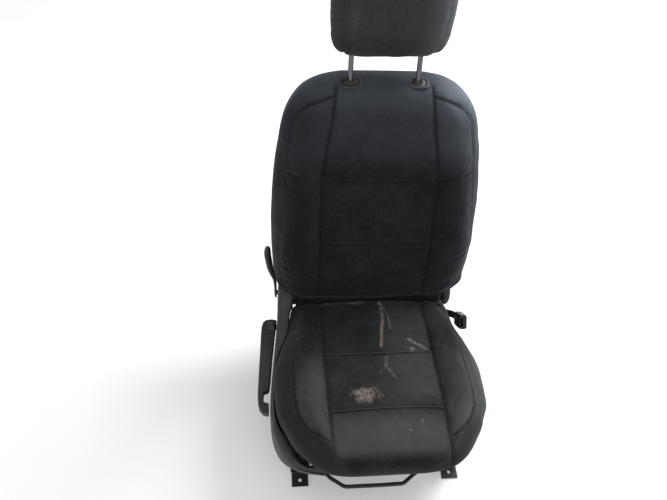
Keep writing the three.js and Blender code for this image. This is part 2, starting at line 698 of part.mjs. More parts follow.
// ---------------------------------------------------------------- pads
// Half of a section through a pad, from the middle of its face, over the bolster and
// round the side to the middle of its underside. Pairs are [across, depth].
function padHalf(section) {
  const { panel, insert, half, face, bolster, edge, rim, recess, recessHalf, sideShare, waist, tuck, fade } = section;
  const seam = Math.min(SEAM_WIDTH, (insert - panel) * 0.3);
  const groove = SEAM_DEPTH * fade;
  const side = rim + (edge - rim) * sideShare;
  return [
    [0, face + PANEL_CROWN * fade],
    [panel * 0.55, face + PANEL_CROWN * 0.7 * fade],
    [panel - seam, face],
    [panel, face - groove],
    [panel + seam, face + bolster * 0.45],
    [panel + (insert - panel) * 0.52, face + bolster],
    [insert - seam * 0.8, edge + (face + bolster - edge) * 0.55],
    [insert, edge - groove * 0.5],
    [insert + (half - insert) * 0.6, edge - GUSSET_FALL * fade],
    [half, side],
    [half - waist * fade, (side + rim) / 2],
    [half - tuck, rim],
    [Math.min(recessHalf + 6, half - tuck - 3), rim],
    [recessHalf, recess],
    [0, recess],
  ];
}

function mirroredRing(halfPoints) {
  const other = halfPoints.slice(1, -1).reverse().map(([across, depth]) => [-across, depth]);
  return [...halfPoints, ...other];
}

const near = (position, seam, reach) => Math.max(0, 1 - Math.abs(position - seam) / reach);

const memberX = ramp([
  [RECLINER_LOBE, MEMBER_OUTER], [90, MEMBER_OUTER + 4], [300, MEMBER_OUTER + 0.6],
  [MEMBER_TOP, MEMBER_OUTER - 29.4],
]);

const backHalfWidth = besidePlate([
  [-52, -51.5], [-20, -26.5], [10, -10.5], [45, 23.5], [66, 40.5], [90, 48.5], [140, 53.5], [230, 55.5],
  [320, 52.5], [410, 44.5], [470, 34.5], [BACK_TOP - 112, 25.5], [BACK_TOP - 81, 13.5], [BACK_TOP - 54, -3.5],
  [BACK_TOP - 33, -23.5], [BACK_TOP - 18, -48.5], [BACK_TOP - 8, -74.5], [BACK_TOP, -116.5],
]);
const backPanelHalf = profile([
  [0, BACK_PANEL_HALF], [370, BACK_PANEL_HALF + 2], [450, 135], [BACK_TOP - 96, 123],
  [BACK_TOP - 16, BACK_PANEL_HALF_TOP - 4],
]);
const backInsertHalf = besidePlate([
  [0, 15.5], [70, 29.5], [180, 37.5], [320, 27.5], [410, 15.5], [480, 9.5], [BACK_TOP - 104, -0.5], [BACK_TOP - 81, -16.5],
  [BACK_TOP - 64, -36.5], [BACK_TOP - 52, -61.5], [BACK_INSERT_TOP, -88.5],
]);
const backFace = profile([
  [-52, 48], [-30, 64], [0, 71], [60, 72], [140, 79], [206, 82], [300, 78], [400, 70], [BACK_TOP - 126, 61],
  [BACK_TOP - 66, 52], [BACK_TOP - 41, 42], [BACK_TOP - 29, 30], [BACK_TOP - 20, 16], [BACK_TOP - 11, 0],
  [BACK_TOP - 4, -12], [BACK_TOP, -24],
]);
const backBolster = profile([
  [30, 0], [70, 6], [120, 20], [200, 30], [330, 29], [430, 20], [BACK_TOP - 96, 9], [BACK_TOP - 41, 3],
  [BACK_TOP - 16, 0],
]);
const backRim = profile([
  [BACK_RECESS_TOP, -BACK_RIM_DEPTH], [BACK_TOP - 23, -BACK_RIM_DEPTH], [BACK_TOP - 10, -42], [BACK_TOP, -34],
]);

function backRing(height) {
  const half = backHalfWidth(height);
  const skirt = height < BACK_RECESS_BOTTOM;
  const closed = height > BACK_RECESS_TOP;
  const rim = skirt ? Math.min(BACK_SKIRT_DEPTH, backFace(height) - 3) : backRim(height);
  const panel = Math.min(backPanelHalf(height), half * 0.66);
  const insert = Math.min(Math.max(backInsertHalf(height), panel + 8, half * 0.8), half - 9);
  const highSeam = near(height, BACK_SEAM_HIGH, SEAM_WIDTH);
  const lowSeam = near(height, BACK_SEAM_LOW, SEAM_WIDTH);
  const across = Math.max(highSeam, lowSeam) * SEAM_DEPTH;
  const thickness = backFace(height) - rim;
  const fade = THREE.MathUtils.clamp(thickness / 60, 0, 1);
  const face = backFace(height) - across;
  const bolster = backBolster(height) + across - highSeam * SEAM_DEPTH;
  const edge = backFace(height) - 14 * fade + backBolster(height) * 0.35;
  const points = padHalf({
    panel, insert, half, face, bolster, edge: Math.min(edge, face + bolster - 1), rim, fade,
    sideShare: 0.6, waist: 3, tuck: 5,
    recess: skirt || closed ? rim : BACK_RECESS_DEPTH,
    recessHalf: Math.min(memberX(height) + 8, half - 15),
  });
  return mirroredRing(points).map(([x, depth]) => new THREE.Vector3(x, -depth, height));
}

const backHeights = [
  -52, -40, -20, 5, 32, 56, BACK_RECESS_BOTTOM - 1, BACK_RECESS_BOTTOM + 3, 112, 145, 175,
  BACK_SEAM_LOW - SEAM_WIDTH, BACK_SEAM_LOW, BACK_SEAM_LOW + SEAM_WIDTH, 245, 290, 335,
  BACK_SEAM_HIGH - SEAM_WIDTH, BACK_SEAM_HIGH, BACK_SEAM_HIGH + SEAM_WIDTH, 420, 460, BACK_TOP - 126,
  BACK_TOP - 96, BACK_TOP - 72, BACK_RECESS_TOP - 1, BACK_RECESS_TOP + 1, BACK_TOP - 34, BACK_TOP - 23,
  BACK_TOP - 14, BACK_TOP - 7, BACK_TOP - 2, BACK_TOP,
];

// Outline of a head restraint bezel from above
function bezelShape(grow) {
  const round = BEZEL_DEPTH / 2 + grow;
  const straight = (BEZEL_LENGTH - BEZEL_DEPTH) / 2;
  const shape = new THREE.Shape();
  shape.absarc(straight, 0, round, -Math.PI / 2, Math.PI / 2, false);
  shape.absarc(-straight, 0, round, Math.PI / 2, (3 * Math.PI) / 2, false);
  return shape;
}

// The bezel lies on the sloping top of the back; its collar runs straight down the post
function sleeve(grow = 0) {
  const collar = alongZ(disc(SLEEVE_RADIUS + grow), SLEEVE_BOTTOM - grow, BEZEL_HEIGHT, 8);
  const bezel = alongZ(bezelShape(grow), -BEZEL_THICKNESS - grow, grow ? 40 : 2, 6)
    .rotateX(radians(BEZEL_TILT))
    .translate(0, 0, BEZEL_HEIGHT);
  return join(collar, bezel).translate(POST_SPACING / 2, -POST_DEPTH, 0);
}

function backPad() {
  const body = loft(backHeights.map(backRing));
  const room = sleeve(CLEARANCE);
  const [low, high] = buttonSpan();
  return cut(body, room, mirrored(room), buttonBody(1, low - 1, high));
}

function guideSleeve(sign) {
  const bore = alongZ(disc(POST_DIAMETER / 2 + PIN_CLEARANCE), SLEEVE_BOTTOM - 10, BEZEL_HEIGHT + 60, 8)
    .translate(POST_SPACING / 2, -POST_DEPTH, 0);
  const body = cut(sleeve(), bore);
  if (sign > 0) return body;
  const [low, high] = buttonSpan();
  const pocket = buttonBody(CLEARANCE, low - 20, high + BUTTON_TRAVEL + CLEARANCE);
  return cut(mirrored(body), pocket);
}

// The release button slides into the outer end of the outboard bezel
function buttonSpan() {
  const outer = -POST_SPACING / 2 - BEZEL_LENGTH / 2 - BUTTON_TRAVEL - 1;
  return [outer, outer + BUTTON_LENGTH + BUTTON_TRAVEL];
}
function buttonBody(grow, low, high) {
  const shape = new THREE.Shape();
  const [half, radius] = [6 + grow, 2.6 + grow];
  shape.absarc(half - 2.6 - grow, 0, radius, -Math.PI / 2, Math.PI / 2, false);
  shape.absarc(-half + 2.6 + grow, 0, radius, Math.PI / 2, (3 * Math.PI) / 2, false);
  return alongX(shape, low, high, 4)
    .translate(0, 0, -BEZEL_THICKNESS / 2 + 0.6)
    .rotateX(radians(BEZEL_TILT))
    .translate(0, -POST_DEPTH, BEZEL_HEIGHT);
}

// ---------------------------------------------------------------- backrest frame
function backMember() {
  const heights = [-35, -27, -12, 20, 48, 90, 200, 300, 400, 470, MEMBER_TOP];
  const front = ramp([[20, 34], [90, MEMBER_FRONT], [MEMBER_TOP, MEMBER_FRONT]]);
  const rings = heights.map((height) => {
    const [x, lip] = [memberX(height), memberX(height) - MEMBER_FLANGE];
    const round = Math.sqrt(RECLINER_RADIUS ** 2 - Math.min(height, 0) ** 2);
    const [ahead, behind] = [Math.min(front(height), round), -Math.min(MEMBER_BACK, round)];
    return [
      [x, ahead], [x, behind], [lip, behind], [lip, behind + MEMBER_WALL],
      [x - MEMBER_WALL, behind + MEMBER_WALL], [x - MEMBER_WALL, ahead - MEMBER_WALL],
      [lip, ahead - MEMBER_WALL], [lip, ahead],
    ].map(([across, depth]) => new THREE.Vector3(across, -depth, height));
  });
  const rodHole = crossBar(0, 0, RECLINER_ROD / 2 + 1, MEMBER_OUTER - 12, MEMBER_OUTER + 5, 0, 8);
  return cut(loft(rings), rodHole);
}

// Half length of a piece of this thickness that fits between the two side members
function spanAt(height, thickness) {
  const web = Math.min(...[-1, 0, 1].map((k) => memberX(height + (k * thickness) / 2)));
  return web - MEMBER_WALL - CLEARANCE;
}

function memberTube(height, depth, diameter) {
  const end = spanAt(height, diameter);
  return crossBar(-depth, height, diameter / 2, -end, end, diameter / 2 - 2, 12);
}

const upperTubeDepth = POST_DEPTH - HOLDER_RADIUS + WELD - UPPER_TUBE_DIAMETER / 2;

function postHolder() {
  const shape = disc(HOLDER_RADIUS);
  shape.holes.push(hole(SLEEVE_RADIUS + CLEARANCE, 0, 0));
  return alongZ(shape, UPPER_TUBE_HEIGHT - HOLDER_LENGTH / 2, UPPER_TUBE_HEIGHT + HOLDER_LENGTH / 2, 8)
    .translate(POST_SPACING / 2, -POST_DEPTH, 0);
}

function matWire(height) {
  const end = spanAt(height, MAT_WIRE);
  const depth = MEMBER_FRONT - MEMBER_WALL - CLEARANCE - MAT_WIRE / 2;
  const curve = new ZigzagCurve(new THREE.Vector3(-end, -depth, height), new THREE.Vector3(end, -depth, height),
    new THREE.Vector3(0, 0, MAT_SWING), MAT_WAVES);
  return wire(curve, MAT_WIRE, WIRE_STEPS * MAT_WAVES, 5);
}

// Domed trim panel that closes the back of the seat and hooks under its lower edge
const coverBulge = profile([
  [-46, 8], [-41, 24], [-28, 38], [-8, 47], [25, 53], [80, 58], [300, 63], [BACK_TOP - 106, 58],
  [BACK_TOP - 26, 49],
]);
const coverHalfWidth = besidePlate([
  [-46, -40.5], [0, -26.5], [40, -10.5], [80, 23.5], [120, 39.5], [230, 43.5], [400, 33.5], [BACK_TOP - 126, 19.5],
  [BACK_TOP - 81, 3.5], [BACK_TOP - 46, -22.5], [BACK_TOP - 26, -56.5],
]);

function rearCover() {
  const top = [146, 96, 61, 38, 26].map((below) => BACK_TOP - below);
  const heights = [-46, -41, -28, -8, 25, 85, 130, 220, 310, 400, ...top];
  const spread = [-1, -0.93, -0.7, -0.35, 0, 0.35, 0.7, 0.93, 1];
  const seat = BACK_RIM_DEPTH + CLEARANCE + 2.6;
  const grid = heights.map((height) =>
    spread.map((s) => {
      const drop = Math.abs(s) ** 3;
      const middle = coverBulge(height);
      const depth = height < 60 ? middle - 2 * drop : middle + (seat - middle) * drop;
      return new THREE.Vector3(s * coverHalfWidth(height), depth, height);
    }),
  );
  return sheet(grid, 2.4, () => new THREE.Vector3(0, -1, 0.15));
}

function buildBackrest() {
  const group = new THREE.Group();
  group.position.set(0, PIVOT_Y, PIVOT_Z);
  group.rotation.x = -radians(RECLINE);
  add(group, 'backrest_pad', backPad(), backFabric);
  add(group, 'backrest_rear_cover', rearCover(), rearTrim);
  for (const { name, sign } of SIDES) {
    add(group, `back_member_${name}`, onSide(backMember(), sign), blackSteel);
    add(group, `restraint_sleeve_${name}`, guideSleeve(sign), darkPlastic);
  }
  const upperTube = memberTube(UPPER_TUBE_HEIGHT, upperTubeDepth, UPPER_TUBE_DIAMETER);
  add(group, 'back_upper_tube', join(upperTube, postHolder(), mirrored(postHolder())), blackSteel);
  add(group, 'back_lower_tube', memberTube(LOWER_TUBE_HEIGHT, 4, LOWER_TUBE_DIAMETER), blackSteel);
  MAT_HEIGHTS.forEach((height, i) => add(group, `back_spring_${i + 1}`, matWire(height), springSteel));
  return group;
}

// ---------------------------------------------------------------- head restraint
const restraintHalfWidth = profile([
  [0, 92], [5, 108], [14, 122], [30, 132], [60, 138], [110, RESTRAINT_HALF_WIDTH], [150, 139],
  [172, 128], [185, 108], [RESTRAINT_TALL, 78],
]);
const restraintFront = profile([
  [0, 34], [8, 48], [30, 60], [80, 68], [130, 66], [165, 52], [184, 28], [RESTRAINT_TALL, 6],
]);
const restraintBack = profile([
  [0, -6], [8, -18], [30, -28], [90, -36], [150, -38], [178, -32], [RESTRAINT_TALL, -14],
]);

function restraintRing(height) {
  const half = restraintHalfWidth(height);
  const [front, back] = [restraintFront(height), restraintBack(height)];
  const seam = Math.min(RESTRAINT_SEAM, half - 14);
  const groove = 4 * THREE.MathUtils.clamp((front - back) / 70, 0, 1);
  const middle = (front + back) / 2;
  return mirroredRing([
    [0, front + 3], [seam * 0.6, front], [seam - SEAM_WIDTH, front - 5], [seam, front - 8 - groove],
    [seam + (half - seam) * 0.5, front - 14], [half, middle + 4], [half - 8, back + 10],
    [half * 0.72, back + 1], [half * 0.4, back], [0, back],
  ]).map(([x, depth]) => new THREE.Vector3(x, -depth, height));
}

function postPath() {
  const half = POST_SPACING / 2;
  const top = POST_INSIDE_PAD;
  const low = -POST_BELOW_PAD;
  return bentPath([[-half, -POST_DEPTH, low], [-half, -POST_DEPTH, top],
    [half, -POST_DEPTH, top], [half, -POST_DEPTH, low]], 26);
}

function buildHeadRestraint() {
  const group = new THREE.Group();
  group.position.z = RESTRAINT_HEIGHT;
  const heights = [0, 5, 14, 30, 55, 85, 115, 140, 160, 174, 184, RESTRAINT_TALL - 2, RESTRAINT_TALL];
  const tunnel = wire(postPath(), POST_DIAMETER + 2 * PIN_CLEARANCE, POST_STEPS, POST_SIDES);
  add(group, 'head_restraint_pad', cut(loft(heights.map(restraintRing)), tunnel), backFabric);
  add(group, 'head_restraint_posts', wire(postPath(), POST_DIAMETER, POST_STEPS, POST_SIDES), polishedSteel);
  return group;
}

// ---------------------------------------------------------------- cushion pad
const cushionHalfWidth = besidePlate([
  [CUSHION_NOSE, -132.5], [-300, -98.5], [-294, -70.5], [-278, -40.5], [-255, -15.5], [-231, 2.5], [-205, 19.5], [-180, 30.5],
  [-150, 39.5], [-90, 45.5], [-20, 42.5], [40, 29.5], [100, 9.5], [150, -2.5], [CUSHION_REAR, -8.5],
]);
const cushionTop = profile([
  [CUSHION_NOSE, 252], [-300, 264], [-293, 280], [-280, 296], [-262, 306], [-240, 311], [-166, 306], [-90, 294],
  [-4, 283], [80, 273], [130, 264], [148, 258], [CUSHION_REAR, 246],
]);
const cushionUnder = profile([
  [CUSHION_NOSE, 236], [-300, 222], [-294, 208], [-284, 202], [-262, 198], [-246, 196],
]);
const cushionBolster = profile([
  [-270, 0], [-236, 4], [-210, 13], [-175, 22], [-90, 27], [0, 24], [80, 16], [140, 6], [CUSHION_REAR, 0],
]);
const cushionInsert = besidePlate([
  [CUSHION_INSERT_END, -64.5], [-222, -46.5], [-198, -19.5], [-158, 0.5], [-98, 7.5], [-20, 6.5], [60, 3.5],
  [120, -10.5], [150, -20.5],
]);
const flankDrop = ramp([[-206, 0], [-186, 16], [-120, 24], [0, 22], [36, 10], [52, 0]]);

const cushionTuck = ramp([[40, 5], [100, 12]]);

function cushionRing(y) {
  const half = cushionHalfWidth(y);
  const panel = Math.min(CUSHION_PANEL_HALF, half * 0.72);
  const insert = Math.min(Math.max(cushionInsert(y), panel + 8, half * 0.8), half - 9);
  const seams = Math.max(near(y, CUSHION_SEAM_REAR, SEAM_WIDTH), near(y, CUSHION_SEAM_FRONT, SEAM_WIDTH));
  const across = seams * SEAM_DEPTH;
  const under = y > PAN_FRONT ? SEAT_PLANE : cushionUnder(y);
  const thickness = cushionTop(y) - under;
  const fade = THREE.MathUtils.clamp(thickness / 80, 0, 1);
  const face = cushionTop(y) - across;
  const bolster = cushionBolster(y) + across;
  const edge = cushionTop(y) - 16 * fade + cushionBolster(y) * 0.4;
  const rim = under - flankDrop(y);
  const tuck = cushionTuck(y);
  const points = padHalf({
    panel, insert, half, face, bolster, edge: Math.min(edge, face + bolster - 1), rim, fade,
    sideShare: 0.6, waist: 6,
    recess: under, recessHalf: Math.min(PLATE_OUTER + 5, half - tuck - 9), tuck,
  });
  return mirroredRing(points).map(([x, z]) => new THREE.Vector3(x, y, z));
}

const cushionStations = [
  CUSHION_NOSE, -300, -295, -286, -274, -260, PAN_FRONT - 1, PAN_FRONT + 1, -225, -200,
  CUSHION_SEAM_FRONT - SEAM_WIDTH, CUSHION_SEAM_FRONT, CUSHION_SEAM_FRONT + SEAM_WIDTH, -130, -90, -50,
  CUSHION_SEAM_REAR - SEAM_WIDTH, CUSHION_SEAM_REAR, CUSHION_SEAM_REAR + SEAM_WIDTH, 35, 70, 100,
  126, 145, 155, CUSHION_REAR,
];

// ---------------------------------------------------------------- side covers
// Plan of the door-side cover, from behind the recliner round to the front of the cushion,
// as [distance outside the side plate, y]
const shieldPlan = new THREE.SplineCurve([
  [29.5, 272], [36.5, 232], [40.5, 152], [48.5, 70], [56.5, -10], [62.5, -90], [59.5, -150], [46.5, -197],
  [24.5, -233], [-12.5, -258], [-66.5, -271],
].map(([x, y]) => new THREE.Vector2(PLATE_OUTER + x, y)));
const shieldTop = profile([
  [-271, 188], [-255, 190], [-236, 198], [-212, 211], [-170, 217], [-100, 219], [0, 223], [80, 231],
  [150, 250], [185, 272], [215, 286], [245, 284], [262, 266], [272, 244],
]);
const shieldBottom = profile([
  [-271, 168], [-250, 152], [-203, 110], [-150, 82], [-90, 74], [60, 76], [150, 104], [210, 142], [250, 178],
  [272, 214],
]);

const shieldStations = shieldPlan.getSpacedPoints(22);
const shieldX = ramp(shieldStations.slice(0, -4).map(({ x, y }) => [y, x]).reverse());

// The cover is screwed to the side plate through two bosses behind it
function sideShield() {
  const stations = shieldStations;
  const levels = [[-6, 1], [0, 1], [1.5, 0.82], [2, 0.5], [1.5, 0.18], [0, 0], [-6, 0]];
  const grid = stations.map((point, i) => {
    const before = stations[Math.max(i - 1, 0)];
    const after = stations[Math.min(i + 1, stations.length - 1)];
    const out = new THREE.Vector2(-(after.y - before.y), after.x - before.x).normalize();
    const [low, high] = [shieldBottom(point.y), shieldTop(point.y)];
    return levels.map(([bulge, share]) =>
      new THREE.Vector3(point.x + out.x * bulge, point.y + out.y * bulge, low + (high - low) * share));
  });
  const middle = new THREE.Vector3(100, -60, 160);
  const panel = sheet(grid, SHIELD_WALL, (point) => middle.clone().sub(point));
  const shaftRoom = SHAFT_DIAMETER / 2 + 2;
  const openings = [[PIVOT_Y, PIVOT_Z], [LIFT_LEVER_Y, LIFT_LEVER_Z]]
    .map(([y, z]) => crossBar(y, z, shaftRoom, PLATE_OUTER + 18, PLATE_OUTER + 58, 0, 10));
  const bosses = SHIELD_BOSSES.map(([y, z]) =>
    crossBar(y, z, SHIELD_BOSS_RADIUS, PLATE_OUTER + CLEARANCE, shieldX(y) + 1, 0, 5));
  return mirrored(join(cut(panel, ...openings), ...bosses));
}

// Round cap over the tunnel-side recliner, open towards the frame
function inboardCover() {
  const [radius, depth, wall] = [INBOARD_COVER_RADIUS, INBOARD_COVER_DEPTH, INBOARD_COVER_WALL];
  const section = [
    [radius - wall, 0], [radius, 0], [radius, depth * 0.55], [radius - 5, depth * 0.85],
    [radius - 12, depth], [0, depth], [0, depth - wall], [radius - 12, depth - wall],
    [radius - wall - 4, depth * 0.75], [radius - wall, depth * 0.5], [radius - wall, 0],
  ].map(([r, h]) => new THREE.Vector2(r, h));
  return new THREE.LatheGeometry(section, 20)
    .rotateZ(-Math.PI / 2)
    .translate(PLATE_OUTER + CLEARANCE, PIVOT_Y, PIVOT_Z);
}

// ---------------------------------------------------------------- controls
// Long loop handle, drawn from the side plate outwards: its outer bar stands off the cover
// and curls back to it in front
function liftLever() {
  const top = LIFT_LEVER_Z + 11;
  const bar = new THREE.Shape();
  const reach = LIFT_LEVER_Y - LIFT_LEVER_REACH;
  bar.moveTo(67.5, LIFT_LEVER_Y + 22);
  bar.quadraticCurveTo(83.5, LIFT_LEVER_Y + 16, 85.5, LIFT_LEVER_Y - 12);
  bar.quadraticCurveTo(92.5, reach + 90, 95.5, reach + 36);
  bar.quadraticCurveTo(96.5, reach + 4, 73.5, reach - 8);
  bar.lineTo(70.5, reach);
  bar.quadraticCurveTo(71.5, reach + 8, 69.5, reach + 30);
  bar.lineTo(62.5, LIFT_LEVER_Y - 40);
  bar.lineTo(59.5, LIFT_LEVER_Y + 22);
  const window = new THREE.Path();
  window.moveTo(72.5, reach + 34).lineTo(80.5, reach + 22);
  window.quadraticCurveTo(84.5, reach + 30, 82.5, reach + 60).lineTo(72.5, reach + 62);
  bar.holes.push(window);
  const grip = alongZ(bar, top - 22, top, 6);
  const recess = outline([
    [67.5, LIFT_LEVER_Y - 30], [75.5, LIFT_LEVER_Y - 30], [83.5, reach + 74], [72.5, reach + 74],
  ]);
  const trough = alongZ(recess, top - 8, top + 1);
  const shaft = crossBar(LIFT_LEVER_Y, LIFT_LEVER_Z, SHAFT_DIAMETER / 2, 24, 63.5, 0, 10);
  const hub = crossBar(LIFT_LEVER_Y, LIFT_LEVER_Z, LIFT_LEVER_HUB / 2, 51.5, 69.5, 0, 14);
  return mirrored(join(cut(grip, trough), hub, shaft).translate(PLATE_OUTER, 0, 0));
}

// Paddle that stands up beside the back, on the end of the recliner rod
function reclinerLever() {
  const corners = [[0, 1], [0.7, 1], [1, 0.6], [1, -0.6], [0.7, -1], [0, -1]];
  const rings = [
    [-16, 42, 8, 13], [0, 42, 9, 17], [22, 42.5, 9, 15], [60, 46.5, 9, 12], [100, 53.5, 9, 13],
    [134, 60.5, 8, 14], [146, 62.5, 6, 10],
  ].map(([height, gap, thick, half]) => corners.map(([out, along]) =>
    new THREE.Vector3(PLATE_OUTER + gap + thick * out, 8 + half * along, height)));
  const rod = crossBar(0, 0, SHAFT_DIAMETER / 2, PLATE_OUTER + 3, PLATE_OUTER + 43.5, 0, 10);
  return mirrored(join(loft(rings), rod));
}

function reclinerRod() {
  return crossBar(0, 0, RECLINER_ROD / 2, -PLATE_OUTER - 2.5, PLATE_OUTER + 8, 0, 10);
}

function releaseBar() {
  const x = HALF_RAIL - STEM_THICKNESS / 2 - CLEARANCE - RELEASE_BAR_DIAMETER / 2 - 3;
  const path = bentPath([
    [-x, RELEASE_PIVOT_Y, RELEASE_PIVOT_Z], [-x, -168, 63], [-133, -256, 104], [-98, -283, 112],
    [52, -283, 112], [80, -262, 106], [x, -168, 63], [x, RELEASE_PIVOT_Y, RELEASE_PIVOT_Z],
  ], 22);
  const bar = wire(path, RELEASE_BAR_DIAMETER, 38, 8);
  const eyes = [-1, 1].map((sign) => crossBar(RELEASE_PIVOT_Y, RELEASE_PIVOT_Z, RELEASE_PIN / 2 + 4.5,
    sign * x - RELEASE_BAR_DIAMETER / 2, sign * x + RELEASE_BAR_DIAMETER / 2, 0, 12));
  const bores = [-1, 1].map((sign) => crossBar(RELEASE_PIVOT_Y, RELEASE_PIVOT_Z, RELEASE_PIN / 2 + PIN_CLEARANCE,
    sign * x - RELEASE_BAR_DIAMETER, sign * x + RELEASE_BAR_DIAMETER, 0, 12));
  return cut(join(bar, ...eyes), ...bores);
}

// ---------------------------------------------------------------- belt buckle
const buckleX = PLATE_OUTER + CLEARANCE + 5;

function placeOnStalk(geometry) {
  return geometry.rotateX(radians(BUCKLE_LEAN)).translate(buckleX, BUCKLE_ANCHOR_Y, BUCKLE_ANCHOR_Z);
}

// Flat strap that steps outwards past the cushion's side
function buckleStalk() {
  const half = STALK_THICKNESS / 2;
  const step = BUCKLE_OFFSET;
  const strap = alongY(outline([
    [half, 0], [half, 32], [step + half, 66], [step + half, STALK_LENGTH], [step - half, STALK_LENGTH],
    [step - half, 68], [-half, 34], [-half, 0],
  ]), -STALK_WIDTH / 2, STALK_WIDTH / 2);
  const eye = crossBar(0, 0, STALK_WIDTH * 0.75, -half, half, 0, 12);
  const bore = crossBar(0, 0, BUCKLE_BOLT / 2 + PIN_CLEARANCE, -10, 10, 0, 10);
  return placeOnStalk(cut(join(eye, strap), bore));
}

function buckleHead() {
  const { wide, deep, tall } = BUCKLE_HEAD;
  const levels = [
    [0, 0.72, 0.8], [8, 0.94, 0.96], [24, 1, 1], [44, 1, 1], [tall - 6, 0.96, 0.97], [tall, 0.84, 0.9],
  ];
  const rings = levels.map(([height, w, d]) => {
    const [a, b, c] = [(wide / 2) * w, (deep / 2) * d, 5];
    return [[a, b - c], [a - c, b], [c - a, b], [-a, b - c], [-a, c - b], [c - a, -b], [a - c, -b], [a, c - b]]
      .map(([x, y]) => new THREE.Vector3(x, y, height + STALK_LENGTH + CLEARANCE));
  });
  const top = STALK_LENGTH + CLEARANCE + tall;
  const slot = new THREE.BoxGeometry(BUCKLE_SLOT.thick, BUCKLE_SLOT.deep, BUCKLE_SLOT.tall * 2)
    .translate(-4.5, 0, top);
  const pocket = new THREE.BoxGeometry(7.6, 26.6, 30).translate(4.6, 0, top);
  return placeOnStalk(cut(loft(rings), slot, pocket)).translate(BUCKLE_OFFSET, 0, 0);
}

function buckleButton() {
  const top = STALK_LENGTH + CLEARANCE + BUCKLE_HEAD.tall;
  return placeOnStalk(new THREE.BoxGeometry(7, 26, 9).translate(4.6, 0, top - 5)).translate(BUCKLE_OFFSET, 0, 0);
}

function buckleBolt() {
  const shank = crossBar(BUCKLE_ANCHOR_Y, BUCKLE_ANCHOR_Z, BUCKLE_BOLT / 2, PLATE_OUTER + CLEARANCE, buckleX + 3, 0, 8);
  const head = crossBar(BUCKLE_ANCHOR_Y, BUCKLE_ANCHOR_Z, 10, buckleX + 2 + CLEARANCE, buckleX + 8, 0, 6);
  return join(shank, head);
}

// ---------------------------------------------------------------- assembly
function buildCushion() {
  const group = new THREE.Group();
  add(group, 'cushion_pad', loft(cushionStations.map(cushionRing)), seatFabric);
  add(group, 'cushion_front_pan', frontPan(), blackSteel);
  add(group, 'spring_bar', springBar(), blackSteel);
  for (let i = 0; i < SPRING_COUNT; i++) add(group, `seat_spring_${i + 1}`, seatSpring(i), springSteel);
  for (const { name, sign } of SIDES) {
    add(group, `side_plate_${name}`, onSide(sidePlate(), sign), blackSteel);
    add(group, `tube_bush_front_${name}`, onSide(tubeBush(FRONT_PIVOT_Y), sign), bushPlastic);
    add(group, `tube_bush_rear_${name}`, onSide(tubeBush(REAR_PIVOT_Y), sign), bushPlastic);
    add(group, `recliner_fixed_${name}`, onSide(reclinerDisc(RECLINER_MIDDLE, RECLINER_FACE), sign), zincSteel);
  }
  add(group, 'lift_pump', mirrored(liftPump()), zincSteel);
  add(group, 'side_shield', sideShield(), coverPlastic);
  add(group, 'recliner_cover_inboard', inboardCover(), coverPlastic);
  add(group, 'buckle_bolt', buckleBolt(), zincSteel);
  add(group, 'buckle_stalk', buckleStalk(), blackSteel);
  add(group, 'buckle_head', buckleHead(), darkPlastic);
  add(group, 'buckle_button', buckleButton(), buttonRed);
  add(group, 'lift_lever', liftLever(), darkPlastic);
  return group;
}

function buildRecliner(backrest) {
  for (const { name, sign } of SIDES) {
    const disc = reclinerDisc(MEMBER_OUTER + CLEARANCE, RECLINER_MIDDLE - CLEARANCE)
      .translate(0, -PIVOT_Y, -PIVOT_Z);
    add(backrest, `recliner_moving_${name}`, onSide(disc, sign), zincSteel);
  }
  add(backrest, 'recliner_rod', reclinerRod(), blackSteel);
  add(backrest, 'recliner_lever', reclinerLever(), darkPlastic);
  const [low, high] = buttonSpan();
  add(backrest, 'restraint_button', buttonBody(0, low, high), darkPlastic);
  backrest.add(buildHeadRestraint());
}

const seat = new THREE.Group();
const backrest = buildBackrest();
buildRecliner(backrest);
seat.add(
  buildFloorRails(), buildCarriage(), buildLinks('front', FRONT_PIVOT_Y), buildLinks('rear', REAR_PIVOT_Y),
  buildCushion(), backrest);
add(seat, 'release_bar', releaseBar(), blackSteel);
seat.position.set(-BOX_CENTRE_X, -BOX_CENTRE_Y, 0);
seat.updateMatrixWorld(true);

export default seat;
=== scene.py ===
# Looks of the front car seat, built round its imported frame. Metres, +Z up, the sitter faces -Y.
import json
import math
import bpy
import bmesh
import numpy as np
from mathutils import Matrix, Vector
from mathutils.bvhtree import BVHTree


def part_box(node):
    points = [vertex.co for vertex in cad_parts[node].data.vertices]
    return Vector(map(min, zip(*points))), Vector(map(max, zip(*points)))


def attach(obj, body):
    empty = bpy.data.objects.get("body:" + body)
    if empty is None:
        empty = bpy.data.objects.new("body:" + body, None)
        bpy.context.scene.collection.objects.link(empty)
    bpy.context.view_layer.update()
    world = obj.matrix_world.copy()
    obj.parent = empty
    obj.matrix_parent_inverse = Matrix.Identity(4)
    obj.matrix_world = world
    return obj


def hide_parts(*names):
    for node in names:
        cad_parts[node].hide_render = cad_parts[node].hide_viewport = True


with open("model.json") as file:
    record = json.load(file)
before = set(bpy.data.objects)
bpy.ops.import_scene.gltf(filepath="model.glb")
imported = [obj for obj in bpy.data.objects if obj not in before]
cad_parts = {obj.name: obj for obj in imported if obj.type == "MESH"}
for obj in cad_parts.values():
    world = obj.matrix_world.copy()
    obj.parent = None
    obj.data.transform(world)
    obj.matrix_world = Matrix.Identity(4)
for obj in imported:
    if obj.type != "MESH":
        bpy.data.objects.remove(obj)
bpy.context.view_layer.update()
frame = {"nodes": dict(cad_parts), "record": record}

# ------------------------------------------------------------------ places shared with the frame, in mm
SHIFT = np.array([20.0, -131.0, 0.0])  # from the seat's own centre plane and datum to the row
PIVOT_Y, PIVOT_Z, RECLINE = 232.0, 225.0, math.radians(21)
PLATE_OUTER = 216.5  # outer faces of the side plates
